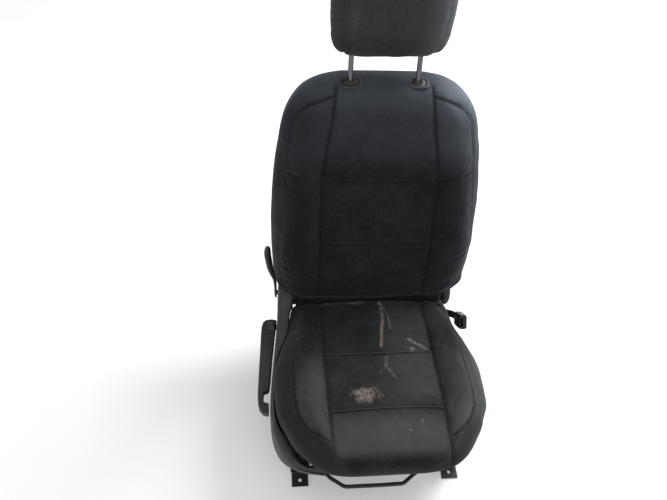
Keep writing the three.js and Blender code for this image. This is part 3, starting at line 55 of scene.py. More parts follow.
POST_HALF, POST_DEPTH = 81.0, 12.0
RESTRAINT_HEIGHT, LOWEST_RESTRAINT = 668.0, 616.0  # up the back: as it stands, and pushed fully down
RESTRAINT_TALL = 192.0
LEVER_Y, LEVER_Z = 140.0, 185.0
BAR_HALF, BAR_Y, BAR_Z = 193.7, -60.0, 60.0  # the release bar's two ends
BUCKLE_X, BUCKLE_Y, BUCKLE_Z, BUCKLE_LEAN = 221.8, 196.0, 168.0, math.radians(45)


def stacked(*parts):
    """Coordinates side by side in a last axis, each an array or one number for all."""
    return np.stack(np.broadcast_arrays(*parts), -1)


def row(points):
    """Millimetres about the seat's own datum to metres in the row frame."""
    return (np.asarray(points, float) + SHIFT) / 1000


def lean_back(points):
    """(across, depth in front of the pivot plane, height up the back) to the row frame."""
    across, depth, height = np.moveaxis(np.asarray(points, float), -1, 0)
    y = PIVOT_Y + height * math.sin(RECLINE) - depth * math.cos(RECLINE)
    return row(stacked(across, y, PIVOT_Z + height * math.cos(RECLINE) + depth * math.sin(RECLINE)))


BACK_FOOT = lean_back((0, 0, 0))
BACK_FORWARD, BACK_UP = lean_back((0, 1, 0)) - BACK_FOOT, lean_back((0, 0, 1)) - BACK_FOOT


def cushion_space(points):
    """(across, height, y) to the row frame."""
    return row(np.asarray(points, float)[..., [0, 2, 1]])


def profile(pairs):
    """Smooth function through pairs (position, value), level beyond the ends."""
    at, value = np.array(pairs, float).T
    last = len(at) - 1
    low, high = np.maximum(np.arange(last + 1) - 1, 0), np.minimum(np.arange(last + 1) + 1, last)
    slope = (value[high] - value[low]) / (at[high] - at[low])

    def curve(position):
        p = np.clip(position, at[0], at[-1])
        i = np.clip(np.searchsorted(at, p, "right") - 1, 0, last - 1)
        span = at[i + 1] - at[i]
        s = (p - at[i]) / span
        blend = value[i] + (value[i + 1] - value[i]) * s * s * (3 - 2 * s)
        return blend + span * (slope[i] * s * (1 - s) ** 2 - slope[i + 1] * s * s * (1 - s))

    return curve


# ------------------------------------------------------------------ mesh helpers
def add_object(name, data):
    obj = bpy.data.objects.new(name, data)
    bpy.context.scene.collection.objects.link(obj)
    return obj


def clean(mesh, merge=0.0, turn=True):
    """Merges points nearer than this and turns the faces outward."""
    bm = bmesh.new()
    bm.from_mesh(mesh)
    if merge:
        bmesh.ops.remove_doubles(bm, verts=bm.verts, dist=merge)
    if turn:
        bmesh.ops.recalc_face_normals(bm, faces=bm.faces)
    bm.to_mesh(mesh)
    bm.free()


def mesh_object(name, points, faces, smooth=True):
    mesh = bpy.data.meshes.new(name)
    mesh.from_pydata([tuple(p) for p in np.asarray(points, float)], [], [list(map(int, f)) for f in faces])
    mesh.validate()
    clean(mesh)
    mesh.polygons.foreach_set("use_smooth", [smooth] * len(mesh.polygons))
    return add_object(name, mesh)


def final_mesh(obj):
    bpy.context.view_layer.update()
    return bpy.data.meshes.new_from_object(obj.evaluated_get(bpy.context.evaluated_depsgraph_get()))


def modify(obj, kind, **settings):
    """Adds a modifier and applies it."""
    modifier = obj.modifiers.new(kind.lower(), kind)
    for key, value in settings.items():
        setattr(modifier, key, value)
    mesh = final_mesh(obj)
    obj.modifiers.clear()
    obj.data = mesh


def cut(obj, tool):
    modify(obj, "BOOLEAN", operation="DIFFERENCE", solver="EXACT", object=tool)
    bpy.data.objects.remove(tool)


def soften(obj, angle=50):
    """Smooth shading, with the edges sharper than this angle kept."""
    bpy.context.view_layer.objects.active = obj
    for other in bpy.context.selected_objects:
        other.select_set(False)
    obj.select_set(True)
    bpy.ops.object.shade_smooth_by_angle(angle=math.radians(angle))
    obj.select_set(False)
    return obj


def vectors(collection, name):
    out = np.empty(len(collection) * 3)
    collection.foreach_get(name, out)
    return out.reshape(-1, 3)


def coordinates(obj):
    return vectors(obj.data.vertices, "co")


def set_coordinates(obj, points):
    obj.data.vertices.foreach_set("co", np.asarray(points, float).ravel())
    obj.data.update()


def normals(obj):
    return vectors(obj.data.vertex_normals, "vector")


def join(name, objects):
    bm = bmesh.new()
    for obj in objects:
        bm.from_mesh(obj.data)
        bpy.data.objects.remove(obj)
    mesh = bpy.data.meshes.new(name)
    bm.to_mesh(mesh)
    bm.free()
    return add_object(name, mesh)


def around(count):
    """Cosines and sines at even steps round a circle."""
    turn = np.linspace(0, 2 * math.pi, count, endpoint=False)
    return np.cos(turn), np.sin(turn)


def bowed(value, power):
    """A power of cosines or sines that keeps their signs."""
    return np.sign(value) * np.abs(value) ** power


def heading(line):
    """Unit direction along a line at each of its points."""
    step = np.gradient(line, axis=0)
    return step / np.linalg.norm(step, axis=1)[:, None]


def leftward(line):
    """Unit direction square to a plane line at each of its points."""
    step = heading(line)
    return stacked(-step[:, 1], step[:, 0])


def loft(name, rings):
    """Closed form through rings of points."""
    rings = np.asarray(rings, float)
    count, sides = rings.shape[:2]
    index = np.arange(count * sides).reshape(count, sides)
    faces = [
        (index[k, i], index[k, (i + 1) % sides], index[k + 1, (i + 1) % sides], index[k + 1, i])
        for k in range(count - 1) for i in range(sides)
    ]
    return mesh_object(name, rings.reshape(-1, 3), faces + [index[0][::-1], index[-1]])


def grid_faces(index):
    return [(index[i, j], index[i + 1, j], index[i + 1, j + 1], index[i, j + 1])
            for i in range(index.shape[0] - 1) for j in range(index.shape[1] - 1)]


def shell(name, grid, thickness, aim):
    """Thin wall behind a grid of points that faces this way."""
    index = np.arange(grid.shape[0] * grid.shape[1]).reshape(grid.shape[:2])
    obj = mesh_object(name, grid.reshape(-1, 3), grid_faces(index))
    if normals(obj).mean(0) @ aim < 0:
        obj.data.flip_normals()
    modify(obj, "SOLIDIFY", thickness=thickness, offset=-1)
    return obj


def tube(name, path, radius, sides):
    """Round bar along a polyline in metres."""
    path = np.asarray(path, float)
    c, s = around(sides)
    side = np.cross(heading(path)[0], [0.31, 0.53, 0.79])
    rings = []
    for point, ahead in zip(path, heading(path)):
        side = side - ahead * side.dot(ahead)
        side /= np.linalg.norm(side)
        rings.append(point + radius * (c[:, None] * side + s[:, None] * np.cross(ahead, side)))
    return loft(name, rings)


def turned(name, section, spot, side=1, place=row):
    """Turned piece from (radius, height) pairs, its axis across the seat."""
    c, s = around(64)
    radius, height = np.array(section, float).T[:, :, None]
    x, y, z = spot
    return loft(name, place(stacked(x + side * height, y + radius * c, z + radius * s)))


def bent_path(corners, radius, steps):
    """Points along straight runs whose corners are rounded."""
    c = np.asarray(corners, float)
    points = [c[0]]
    for i in range(1, len(c) - 1):
        into, out = c[i - 1] - c[i], c[i + 1] - c[i]
        into, out = into / np.linalg.norm(into), out / np.linalg.norm(out)
        reach = radius * math.tan((math.pi - math.acos(np.clip(into.dot(out), -1, 1))) / 2)
        start, end = c[i] + into * reach, c[i] + out * reach
        for t in np.linspace(0, 1, steps + 1):
            points.append((1 - t) ** 2 * start + 2 * t * (1 - t) * c[i] + t * t * end)
    return np.array([*points, c[-1]])


def lengths(line):
    """Distance run along a polyline at each of its points."""
    return np.concatenate([[0], np.cumsum(np.linalg.norm(np.diff(line, axis=0), axis=1))])


def pick(line, at):
    """Points at these distances along a polyline."""
    run = lengths(line)
    return np.stack([np.interp(at, run, line[:, k]) for k in range(line.shape[1])], -1)


def smooth_loop(points, spacing=2.0, blur=0.0, closed=True):
    """Evenly spaced points along a loop or a line, blurred by this length."""
    p = np.asarray(points, float)
    if closed:
        p = np.concatenate([p, p[:1]])
    whole = lengths(p)[-1]
    count = max(8, int(whole / spacing))
    even = pick(p, np.linspace(0, whole, count + (not closed), endpoint=not closed))
    if blur:
        reach = int(3 * blur / spacing)
        weight = np.exp(-0.5 * (np.arange(-reach, reach + 1) * spacing / blur) ** 2)
        weight /= weight.sum()
        padded = np.pad(even, ((reach, reach), (0, 0)), mode="wrap" if closed else "edge")
        even = np.stack([np.convolve(padded[:, k], weight, "valid") for k in range(p.shape[1])], -1)
    return even


def cubic(a, b, c, d, t):
    """Smooth curve from b to c that heads for a and d beyond them."""
    return 0.5 * (2 * b + (c - a) * t + (2 * a - 5 * b + 4 * c - d) * t**2 + (3 * b - a - 3 * c + d) * t**3)


def spline_line(points, spacing=6.0):
    """Smooth line through a few points, evenly spaced."""
    p = np.asarray(points, float)
    p = np.concatenate([[2 * p[0] - p[1]], p, [2 * p[-1] - p[-2]]])
    t = np.linspace(0, 1, 12, endpoint=False)[:, None]
    out = [cubic(*p[i - 1 : i + 3], t) for i in range(1, len(p) - 2)]
    return smooth_loop(np.concatenate([*out, p[-2:-1]]), spacing, closed=False)


def distance_to(points, *lines):
    """Distance in the plan from each point to the nearest of some polylines."""
    best = np.full(len(points), 1e9)
    for line in lines:
        for a, b in zip(line[:-1], line[1:]):
            d = b - a
            t = np.clip(((points - a) @ d) / max(d @ d, 1e-9), 0, 1)
            best = np.minimum(best, np.linalg.norm(points - a - t[:, None] * d, axis=1))
    return best


# ------------------------------------------------------------------ pads
def spread(ring):
    """The ring's points slid along it a little, so that none of them crowd together."""
    closed = np.concatenate([ring, ring[:1]])
    run = lengths(closed)
    at = run * 0.75 + np.linspace(0, run[-1], len(run)) * 0.25
    return pick(closed, at[:-1])


def four_sides(loop, across, along):
    """A loop's runs along the four sides of a patch: low, right, high and left."""
    loop = np.concatenate([loop, loop[:1]])
    return (loop[: across + 1], loop[across : across + along + 1],
            loop[across + along : 2 * across + along + 1][::-1], loop[2 * across + along :][::-1])


def coons(ring, across, along):
    """Smooth patch inside a ring."""
    low, right, high, left = four_sides(ring, across, along)
    s = np.linspace(0, 1, across + 1)[:, None, None]
    t = np.linspace(0, 1, along + 1)[None, :, None]
    patch = (1 - t) * low[:, None] + t * high[:, None] + (1 - s) * left[None] + s * right[None]
    return patch - ((1 - s) * (1 - t) * low[0] + s * (1 - t) * low[-1] + (1 - s) * t * high[0] + s * t * high[-1])


class Pad:
    """Stuffed form over a plan outline: a sitting face that rolls over its edge to the side,
    a wall that draws in, and an underside. Plan points are (across, along); height is the third."""

    def __init__(self, half_width, low, high, steps, corners, face, equator, roll, wall, under=None, roll_under=0):
        """The outline comes from the half width between two places along the form."""
        positions = np.linspace(low, high, steps)
        half = half_width(positions)
        loop = np.concatenate([stacked(half, positions), stacked(-half[::-1], positions[::-1])])
        loop = smooth_loop(loop, 2.0, 7)
        start = int(np.argmin(np.linalg.norm(loop - loop.mean(0) + [0, 1e5], axis=1)))
        self.outline = np.roll(loop, -start, 0)
        self.corners = corners
        self.face, self.equator, self.roll = face, equator, roll
        self.wall, self.under, self.roll_under = wall, under, roll_under

    def perimeter(self, across, along):
        """Points round the outline, even between its corners, and their inward directions."""
        loop = self.outline
        starts = [int(np.argmin(np.linalg.norm(loop - c, axis=1))) for c in self.corners]
        out = []
        for k, count in enumerate([across, along, across, along]):
            a, b = starts[k], starts[(k + 1) % 4]
            piece = loop[a : b + 1] if b > a else np.concatenate([loop[a:], loop[: b + 1]])
            out.append(pick(piece, np.linspace(0, lengths(piece)[-1], count, endpoint=False)))
        ring = np.concatenate(out)
        tangent = np.roll(ring, -1, 0) - np.roll(ring, 1, 0)
        tangent /= np.linalg.norm(tangent, axis=1)[:, None]
        return ring, stacked(-tangent[:, 1], tangent[:, 0])

    def build(self, name, place, across, along):
        ring, inward = self.perimeter(across, along)
        count, equator = len(ring), self.equator(ring)
        rings = []

        def roll(height, radius, angles):
            for a in angles:
                plan = ring + inward * (radius * (1 - math.cos(a)))
                rings.append(np.column_stack([plan, equator + (height(plan) - equator) * math.sin(a)]))

        roll(self.face, self.roll, np.linspace(math.pi / 2, 0, 9))
        for plan, height in self.wall(ring, inward, equator):
            rings.append(np.column_stack([spread(plan), np.broadcast_to(height, count)]))
        if self.under:
            roll(self.under, self.roll_under, np.linspace(0, math.pi / 2, 9)[1:])
        points, total = list(rings), len(rings) * count
        faces = [(k * count + i, (k + 1) * count + i, (k + 1) * count + (i + 1) % count, k * count + (i + 1) % count)
                 for k in range(len(rings) - 1) for i in range(count)]
        border = np.empty((across + 1, along + 1), int)
        border[:, 0], border[across], border[:, along], border[0] = four_sides(np.arange(count), across, along)

        def close(first, inner, order=1):
            index = border + first
            index[1:-1, 1:-1] = total + np.arange(len(inner)).reshape(across - 1, along - 1)
            points.append(inner)
            faces.extend(grid_faces(index)[::order])
            return index

        def domed(inset, height):
            inner = coons(ring + inward * inset, across, along)[1:-1, 1:-1].reshape(-1, 2)
            return np.column_stack([inner, height(inner)])

        self.face_index, self.under_index = close(0, domed(self.roll, self.face)), None
        total += len(points[-1])
        last = (len(rings) - 1) * count
        if self.under:
            self.under_index = close(last, domed(self.roll_under, self.under), -1)
        else:
            close(last, coons(rings[-1], across, along)[1:-1, 1:-1].reshape(-1, 3))
        self.plan, self.rings, self.count = np.concatenate(points), len(rings), count
        return mesh_object(name, place(self.plan[:, [0, 2, 1]]), faces)


def resample(values, count, closed=False):
    """Smooth resampling of the first axis to count steps."""
    n = len(values)
    at = np.arange(count) * n / count if closed else np.linspace(0, n - 1, count)
    i = np.floor(at).astype(int)
    if not closed:
        i = np.minimum(i, n - 2)
    t = (at - i).reshape((-1,) + (1,) * (values.ndim - 1))
    around_here = [i + k for k in (-1, 0, 1, 2)]
    picked = [values[k % n if closed else np.clip(k, 0, n - 1)] for k in around_here]
    return cubic(*picked, t)


CLOTH_FRAMES = 20


def inflate(pad, place, across, along, seams, above, cap):
    """Lets air pressure and the cloth's own stretch round a coarse copy of the pad between the
    seams that hold it. Returns each point's travel and how the copy is laid out."""
    obj = pad.build("inflating", place, across, along)
    start = coordinates(obj)
    group = obj.vertex_groups.new(name="held")
    near_seam = np.exp(-(distance_to(pad.plan[:, :2], *seams) / 9) ** 2)
    for i, weight in enumerate(np.clip(np.maximum(near_seam, above(pad.plan)), 0, 1)):
        if weight > 0.01:
            group.add([i], float(weight), "REPLACE")
    modifier = obj.modifiers.new("cloth", "CLOTH")
    settings = modifier.settings
    settings.quality, settings.mass = 5, 0.3
    settings.tension_stiffness = settings.compression_stiffness = 12
    settings.shear_stiffness, settings.bending_stiffness = 6, 1.5
    settings.vertex_group_mass = "held"
    settings.use_pressure, settings.uniform_pressure_force = True, 4.0
    settings.effector_weights.gravity = 0
    modifier.collision_settings.use_collision = modifier.collision_settings.use_self_collision = False
    modifier.point_cache.frame_start, modifier.point_cache.frame_end = 1, CLOTH_FRAMES
    for number in range(1, CLOTH_FRAMES + 1):
        bpy.context.scene.frame_set(number)
    travel = coordinates(obj.evaluated_get(bpy.context.evaluated_depsgraph_get())) - start
    bpy.context.scene.frame_set(1)
    travel[~np.isfinite(travel)] = 0
    length = np.linalg.norm(travel, axis=1)[:, None]
    travel *= cap * np.tanh(length / cap) / np.maximum(length, 1e-9)
    bpy.data.objects.remove(obj)
    return travel, pad.rings, pad.count, pad.face_index, pad.under_index


def carry(travel, rings, count, face, under, pad, across, along):
    """The coarse copy's travel at each point of the fine pad, which pad has just built."""
    out = np.zeros((len(pad.plan), 3))
    for k in range(rings):
        ring = travel[k * count : (k + 1) * count]
        out[k * pad.count : (k + 1) * pad.count] = resample(ring, pad.count, closed=True)
    for coarse, fine in ((face, pad.face_index), (under, pad.under_index)):
        if coarse is not None:
            patch = resample(np.swapaxes(resample(travel[coarse], across + 1), 0, 1), along + 1)
            out[fine[1:-1, 1:-1].ravel()] = np.swapaxes(patch, 0, 1)[1:-1, 1:-1].reshape(-1, 3)
    return out


def ripple(points, seed, length):
    """Gentle irregular waves over the plan, of about this wavelength, from -1 to 1."""
    random = np.random.default_rng(seed)
    out, count = np.zeros(len(points)), 10
    for _ in range(count):
        angle, phase = random.uniform(0, 2 * math.pi, 2)
        size = 2 * math.pi / (length * random.uniform(0.7, 1.6))
        out += np.sin(size * (points[:, 0] * math.cos(angle) + points[:, 1] * math.sin(angle)) + phase)
    return out / math.sqrt(count)


def smooth_step(value, low, high):
    s = np.clip((value - low) / (high - low), 0, 1)
    return s * s * (3 - 2 * s)


def ridge(share, fall):
    """Height of a bolster across it: up from the inner seam, over a crest, down to the outer."""
    down = np.clip((share - 0.5) / 0.5, 0, 1.25)
    return np.sin(0.5 * math.pi * np.clip(share / 0.55, 0, 1)) - fall * down**2


def drawn_in(ring, inward, equator, rim, steps, swell):
    """Rings of a wall from its equator to its rim, at pairs (inset, share of the way down)."""
    return [(ring + inward * (inset * swell)[:, None], equator - (equator - rim) * share) for inset, share in steps]


# ------------------------------------------------------------------ forms of the pads
BACK_LOW, BACK_TOP = -24.0, 626.0
back_half = profile([
    (-24, 184), (10, 212), (45, 241), (66, 257), (90, 265), (140, 270), (230, 272), (320, 269),
    (410, 261), (470, 251), (514, 242), (545, 230), (572, 213), (593, 193), (608, 168), (618, 142), (626, 100),
])
back_panel = profile([(0, 143), (370, 146), (457, 135), (527, 123), (610, 114)])
back_insert = profile([
    (0, 232), (70, 246), (180, 255), (320, 244), (410, 233), (460, 228), (521, 217), (541, 206), (560, 186),
    (572, 155), (583, 128),
])
back_face = profile([
    (-24, 16), (-6, 24), (8, 42), (22, 60), (38, 70), (70, 75), (140, 80), (206, 82), (300, 78), (400, 70),
    (500, 61), (560, 52), (590, 40), (608, 26), (626, 8),
])
back_bolster = profile([
    (30, 0), (70, 6), (120, 20), (200, 30), (330, 29), (430, 20), (530, 9), (585, 3), (610, 0),
])
member_x = profile([(44, 199.4), (90, 203.4), (300, 200), (566, 170)])


def face_height(across, panel, insert, half, bolster, fall, shoulder, level, crown, down):
    """Height of a sitting face: a crowned panel between bolsters that fall off towards the edge."""
    panel = np.minimum(panel, half * 0.62)
    insert = np.minimum(np.maximum(insert, half * 0.8), half - 9)
    share = (across - panel) / (insert - panel)
    raised = level + crown * np.clip(1 - (across / panel) ** 2, 0, 1) + bolster * ridge(share, fall)
    return raised - down * smooth_step(share, 0.55, shoulder)


def back_height(plan):
    across, up = np.abs(plan[:, 0]), plan[:, 1]
    return face_height(across, back_panel(up), back_insert(up), back_half(up), back_bolster(up), 0.62, 1.1,
                       back_face(up), 4, 12 * smooth_step(up, BACK_TOP, BACK_TOP - 120))


def back_rim(plan):
    return 46 - 91 * smooth_step(plan[:, 1], 58, 94) + 9 * smooth_step(plan[:, 1], 600, BACK_TOP)


def back_equator(plan):
    rim = back_rim(plan)
    side = rim + (back_height(plan) - 4 - rim) * 0.6
    top = smooth_step(plan[:, 1], 570, 618)
    return side * (1 - top) - 24 * top


def back_wall(ring, inward, equator):
    rim = back_rim(ring)
    steps = [(1.6, 0.2), (2.8, 0.45), (3.4, 0.7), (4.2, 0.9), (6.2, 0.985), (10, 1.0)]
    out = drawn_in(ring, inward, equator, rim, steps, np.ones(len(ring)))
    for margin, height in ((13, rim), (8, 24.8)):
        up = np.clip(ring[:, 1], 94 - (margin - 8), 572 + (margin - 8))
        side = member_x(up) + margin
        out.append((stacked(np.clip(ring[:, 0], -side, side), up), height))
    return out


CUSHION_REAR, CUSHION_NOSE, SEAT_PLANE, CUSHION_PANEL = 185.0, -303.0, 188.3, 141
cushion_half = profile([
    (-303, 84), (-300, 118), (-294, 146), (-278, 176), (-255, 201), (-231, 219), (-205, 236), (-180, 247),
    (-150, 262), (-90, 270), (-20, 269), (40, 251), (96, 230), (150, 224), (172, 219), (185, 212),
])
cushion_top = profile([
    (-303, 306), (-262, 309), (-240, 311), (-166, 306), (-90, 294), (-4, 283), (80, 274), (140, 268), (185, 262),
])
cushion_bolster = profile([
    (-270, 0), (-236, 4), (-210, 13), (-175, 22), (-90, 27), (0, 24), (80, 16), (140, 6), (170, 0),
])
cushion_insert = profile([
    (-303, 100), (-260, 130), (-236, 152), (-222, 170), (-198, 197), (-158, 217), (-98, 224), (-20, 223), (60, 220),
    (120, 208), (160, 198), (180, 190),
])
flank_drop = profile([(-206, 0), (-186, 14), (-120, 24), (0, 22), (36, 10), (52, 0)])


def cushion_height(plan):
    across, y = np.abs(plan[:, 0]), plan[:, 1]
    return face_height(across, CUSHION_PANEL, cushion_insert(y), cushion_half(y), cushion_bolster(y), 0.6, 1.15,
                       cushion_top(y), 5, 13)


def cushion_front(plan):
    return smooth_step(-plan[:, 1], 205, 265)


def cushion_rim(plan):
    return SEAT_PLANE - flank_drop(plan[:, 1]) + 14 * cushion_front(plan)


def cushion_equator(plan):
    rim, front, rear = cushion_rim(plan), cushion_front(plan), smooth_step(plan[:, 1], 152, 182)
    side = rim + (cushion_height(plan) - 6 - rim) * 0.6
    return (side * (1 - front) + 250 * front) * (1 - rear) + 220 * rear


def cushion_wall(ring, inward, equator):
    rim = cushion_rim(ring)
    steps = [(2, 0.16), (4, 0.38), (5, 0.62), (5.5, 0.84), (7.5, 0.965), (11, 1.0)]
    out = drawn_in(ring, inward, equator, rim, steps, 1 + 1.2 * cushion_front(ring))
    for margin, height in ((4, rim), (2, SEAT_PLANE)):
        y = np.clip(ring[:, 1], -232 - margin, CUSHION_REAR - 16 + margin)
        side = np.minimum(PLATE_OUTER + 3 + margin, np.maximum(cushion_half(y) - 17 + margin, 60))
        out.append((stacked(np.clip(ring[:, 0], -side, side), y), height))
    return out


restraint_half = profile([
    (0, 96), (5, 108), (14, 122), (30, 132), (60, 138), (110, 142), (150, 139), (172, 128), (185, 108), (192, 78),
])
restraint_front = profile([(0, 54), (30, 62), (80, 69), (130, 67), (165, 57), (192, 36)])
restraint_back = profile([(0, -14), (30, -29), (90, -37), (150, -38), (178, -34), (192, -26)])
restraint_middle = profile([(0, 16), (30, 18), (100, 16), (160, 8), (192, -6)])


def restraint_plan(plan):
    """Height above the restraint's lowest point, and the share of the way from its middle to its side."""
    up = plan[:, 1] - RESTRAINT_HEIGHT
    return up, np.abs(plan[:, 0]) / restraint_half(up)


def restraint_face(plan):
    up, share = restraint_plan(plan)
    return restraint_front(up) + 3 - 12 * smooth_step(share, 0.55, 1.05)


def restraint_rear(plan):
    up, share = restraint_plan(plan)
    return restraint_back(up) + 5 * smooth_step(share, 0.4, 1.0)


# ------------------------------------------------------------------ seams and folds, in plan
def mirrored(line):
    return [line, np.asarray(line) * [-1, 1]]


up_back = np.arange(-20, 609, 12.0)
back_inserts = mirrored(spline_line([
    (117, 584), (135, 580), (158, 572), (184, 560), (206, 541), (218, 521), (228, 460), (233, 410), (241, 323),
    (255, 180), (250, 110), (244, 70),
]))
back_high = spline_line([
    (-236, 404), (-190, 394), (-146, 381), (-70, 379), (0, 379), (70, 379), (146, 381), (190, 394), (236, 404),
])
back_low = spline_line([(-143, 207), (-60, 205), (60, 205), (143, 207)])
back_seams = [*mirrored(stacked(back_panel(up_back), up_back)), *back_inserts, back_high, back_low]
back_folds = [spline_line(line) for line in (
    [(-232, 372), (-196, 366), (-158, 372)], [(-146, 372), (-120, 352), (-96, 346)],
    [(146, 372), (118, 356), (90, 350)], [(-143, 214), (-112, 226), (-84, 226)], [(143, 214), (116, 228), (92, 230)],
    [(-250, 150), (-214, 134), (-170, 128)], [(250, 190), (212, 170), (176, 166)],
    [(-236, 486), (-200, 470), (-150, 468)], [(128, 520), (116, 470), (124, 430)],
)]

cushion_inserts = mirrored(spline_line([
    (137, -240), (152, -234), (169, -223), (197, -198), (217, -158), (223, -98), (223, -20), (220, 60), (208, 120),
    (198, 160),
]))
cushion_panels = mirrored(spline_line([
    (141, 182), (141, 60), (141, -120), (139, -200), (137, -240), (139, -270), (142, -290), (143, -296),
]))
cushion_cross = [spline_line([(-141, -2), (-60, -5), (60, -5), (141, -2)]),
                 spline_line([(-139, -168), (-60, -165), (60, -164), (139, -168)])]
cushion_seams = [*cushion_panels, *cushion_inserts, *cushion_cross]
cushion_folds = [spline_line(line) for line in (
    [(-206, 120), (-176, 70), (-152, 6)], [(-216, 60), (-184, 20), (-158, -46)], [(-141, 6), (-112, 20), (-86, 22)],
    [(141, 6), (116, 22), (92, 26)], [(-139, -160), (-108, -146), (-80, -144)],
    [(139, -160), (112, -144), (84, -140)], [(212, 90), (182, 56), (160, 10)],
    [(-200, -120), (-172, -150), (-146, -190)], [(204, -110), (176, -140), (150, -180)],
)]
restraint_seams = mirrored(spline_line([
    (104, 672), (109, 690), (113, 710), (118, 760), (120, 795), (117, 830), (106, 852),
]))


def make_pad(name, pad, place, size, coarse, seams, above, cap, seed, puff=1.0, folds=()):
    """A pad blown up between its seams, then given its sewn channels, folds and small waves."""
    travel = inflate(pad, place, *coarse, seams, above, cap / 1000)
    obj = pad.build(name, place, *size)
    plan = pad.plan[:, :2]
    distance = distance_to(plan, *seams)
    soft = 1 - np.clip(above(pad.plan), 0, 1)
    if travel:
        points = coordinates(obj) + carry(*travel, pad, *size)
    else:
        lift = cap * 0.0008 * (1 - np.exp(-((distance / 32) ** 2))) * soft
        points = coordinates(obj) + normals(obj) * lift[:, None]
    set_coordinates(obj, points)
    waves = ripple(plan, seed, 90) * 0.9 + ripple(plan, seed + 1, 34) * 0.35
    pulls = ripple(plan, seed + 2, 16) * np.exp(-distance / 16) * 0.7
    channel = -2.3 * np.exp(-(distance / 2.4) ** 2) - 3.4 * puff * np.exp(-distance / 13)
    for line in folds:
        away = distance_to(plan, line)
        channel += 1.0 * np.exp(-(((away - 9) / 6) ** 2)) - 1.5 * np.exp(-((away / 4.5) ** 2))
    offset = (waves * 0.75 + pulls + channel) / 1000 * np.clip(soft + 0.15, 0, 1)
    set_coordinates(obj, points + normals(obj) * offset[:, None])
    return obj, distance


def shade(obj, light, warm=0.0, dirt=0.0):
    """Stores what the cloth reads at each point: how pale it is, with painted light and shade in that value, how warm
    and how dirty it is.
    """
    for name, value in (("light", light), ("warm", warm), ("dirt", dirt)):
        layer = obj.data.attributes.new(name, "FLOAT", "POINT")
        layer.data.foreach_set("value", np.broadcast_to(value, len(obj.data.vertices)).astype(np.float32))


def finish_pad(obj, body, node, slot_name, material):
    clean(obj.data, 2e-5, turn=False)
    modify(obj, "SUBSURF", levels=1, render_levels=1)
    obj.data.polygons.foreach_set("use_smooth", [True] * len(obj.data.polygons))
    place_piece(obj, body, material, slot_name, node)


def stitches(name, cover, body, slot_name, material, rows, place, aim):
    """Rows of short raised threads that lie on the pad beside its seams."""
    tree = BVHTree.FromObject(cover, bpy.context.evaluated_depsgraph_get())
    points, faces = [], []
    aim = Vector(aim).normalized()
    offset, pitch, half, wide = 3.4, 4.6, 0.0015, 0.00045
    for line, side in rows:
        even = smooth_loop(line, pitch / 2, closed=False)
        even = even + leftward(even) * offset * side
        hits = [tree.ray_cast(Vector(spot), -aim) for spot in place(stacked(even[:, 0], 400.0, even[:, 1]))]
        for k in range(1, len(hits) - 1, 2):
            (here, normal), before, after = hits[k][:2], hits[k - 1][0], hits[k + 1][0]
            if here is None or before is None or after is None:
                continue
            along = (after - before).normalized()
            beside = normal.cross(along).normalized()
            base = len(points)
            for at, size, high in ((-1, 0.25, 0.0), (-0.5, 1, 0.35), (0.5, 1, 0.35), (1, 0.25, 0.0)):
                middle = here + along * half * at + normal * wide * high
                for turn in range(6):
                    a = turn * math.pi / 3
                    points.append(middle + beside * wide * size * math.cos(a) + normal * wide * size * math.sin(a))
            for ring in range(3):
                for turn in range(6):
                    a, b = base + ring * 6 + turn, base + ring * 6 + (turn + 1) % 6
                    faces.append((a, b, b + 6, a + 6))
            faces.append([base + t for t in range(5, -1, -1)])
            faces.append([base + 18 + t for t in range(6)])
    place_piece(mesh_object(name, points, faces), body, material, slot_name)


# ------------------------------------------------------------------ materials
class Nodes:
    """Short way to build a material's node tree."""

    def __init__(self, name):
        self.material = bpy.data.materials.new(name)
        self.material.use_nodes = True
        self.tree = self.material.node_tree
        self.shader = self.tree.nodes["Principled BSDF"]
        self.where = self.add("ShaderNodeTexCoord").outputs["Object"]

    def feed(self, node, inputs):
        """Sets a node's inputs to values, or links them to other nodes' outputs."""
        for key, value in inputs.items():
            if isinstance(value, bpy.types.NodeSocket):
                self.tree.links.new(value, node.inputs[key])
            else:
                node.inputs[key].default_value = value

    def add(self, kind, inputs=None, **settings):
        node = self.tree.nodes.new(kind)
        for key, value in settings.items():
            setattr(node, key, value)
        self.feed(node, inputs or {})
        return node

    def moved(self, scale=(1, 1, 1), turn=(0, 0, 0)):
        return self.add("ShaderNodeMapping", {"Vector": self.where, "Scale": scale, "Rotation": turn}).outputs[0]

    def noise(self, scale, detail=3.0, rough=0.55, source=None):
        inputs = {"Vector": source or self.where, "Scale": scale, "Detail": detail, "Roughness": rough}
        return self.add("ShaderNodeTexNoise", inputs).outputs["Fac"]

    def wave(self, scale, axis, source):
        inputs = {"Vector": source, "Scale": scale}
        return self.add("ShaderNodeTexWave", inputs, wave_type="BANDS", bands_direction=axis).outputs["Fac"]

    def math(self, operation, a, b):
        return self.add("ShaderNodeMath", {0: a, 1: b}, operation=operation).outputs[0]

    def span(self, value, low, high, to_low=0.0, to_high=1.0):
        inputs = {"Value": value, "From Min": low, "From Max": high, "To Min": to_low, "To Max": to_high}
        return self.add("ShaderNodeMapRange", inputs).outputs["Result"]

    def mix(self, share, a, b):
        a, b = ((*color, 1) if isinstance(color, tuple) else color for color in (a, b))
        return self.add("ShaderNodeMix", {0: share, 6: a, 7: b}, data_type="RGBA").outputs[2]

    def read(self, name):
        return self.add("ShaderNodeAttribute", attribute_name=name).outputs["Fac"]

    def bump(self, height, strength, distance):
        node = self.add("ShaderNodeBump", {"Height": height, "Strength": strength, "Distance": distance})
        self.feed(self.shader, {"Normal": node.outputs[0]})


def tone(*srgb):
    """Linear colour from 0-255 values as seen on a screen."""
    return tuple(((v / 255 + 0.055) / 1.055) ** 2.4 if v > 10 else v / 255 / 12.92 for v in srgb)


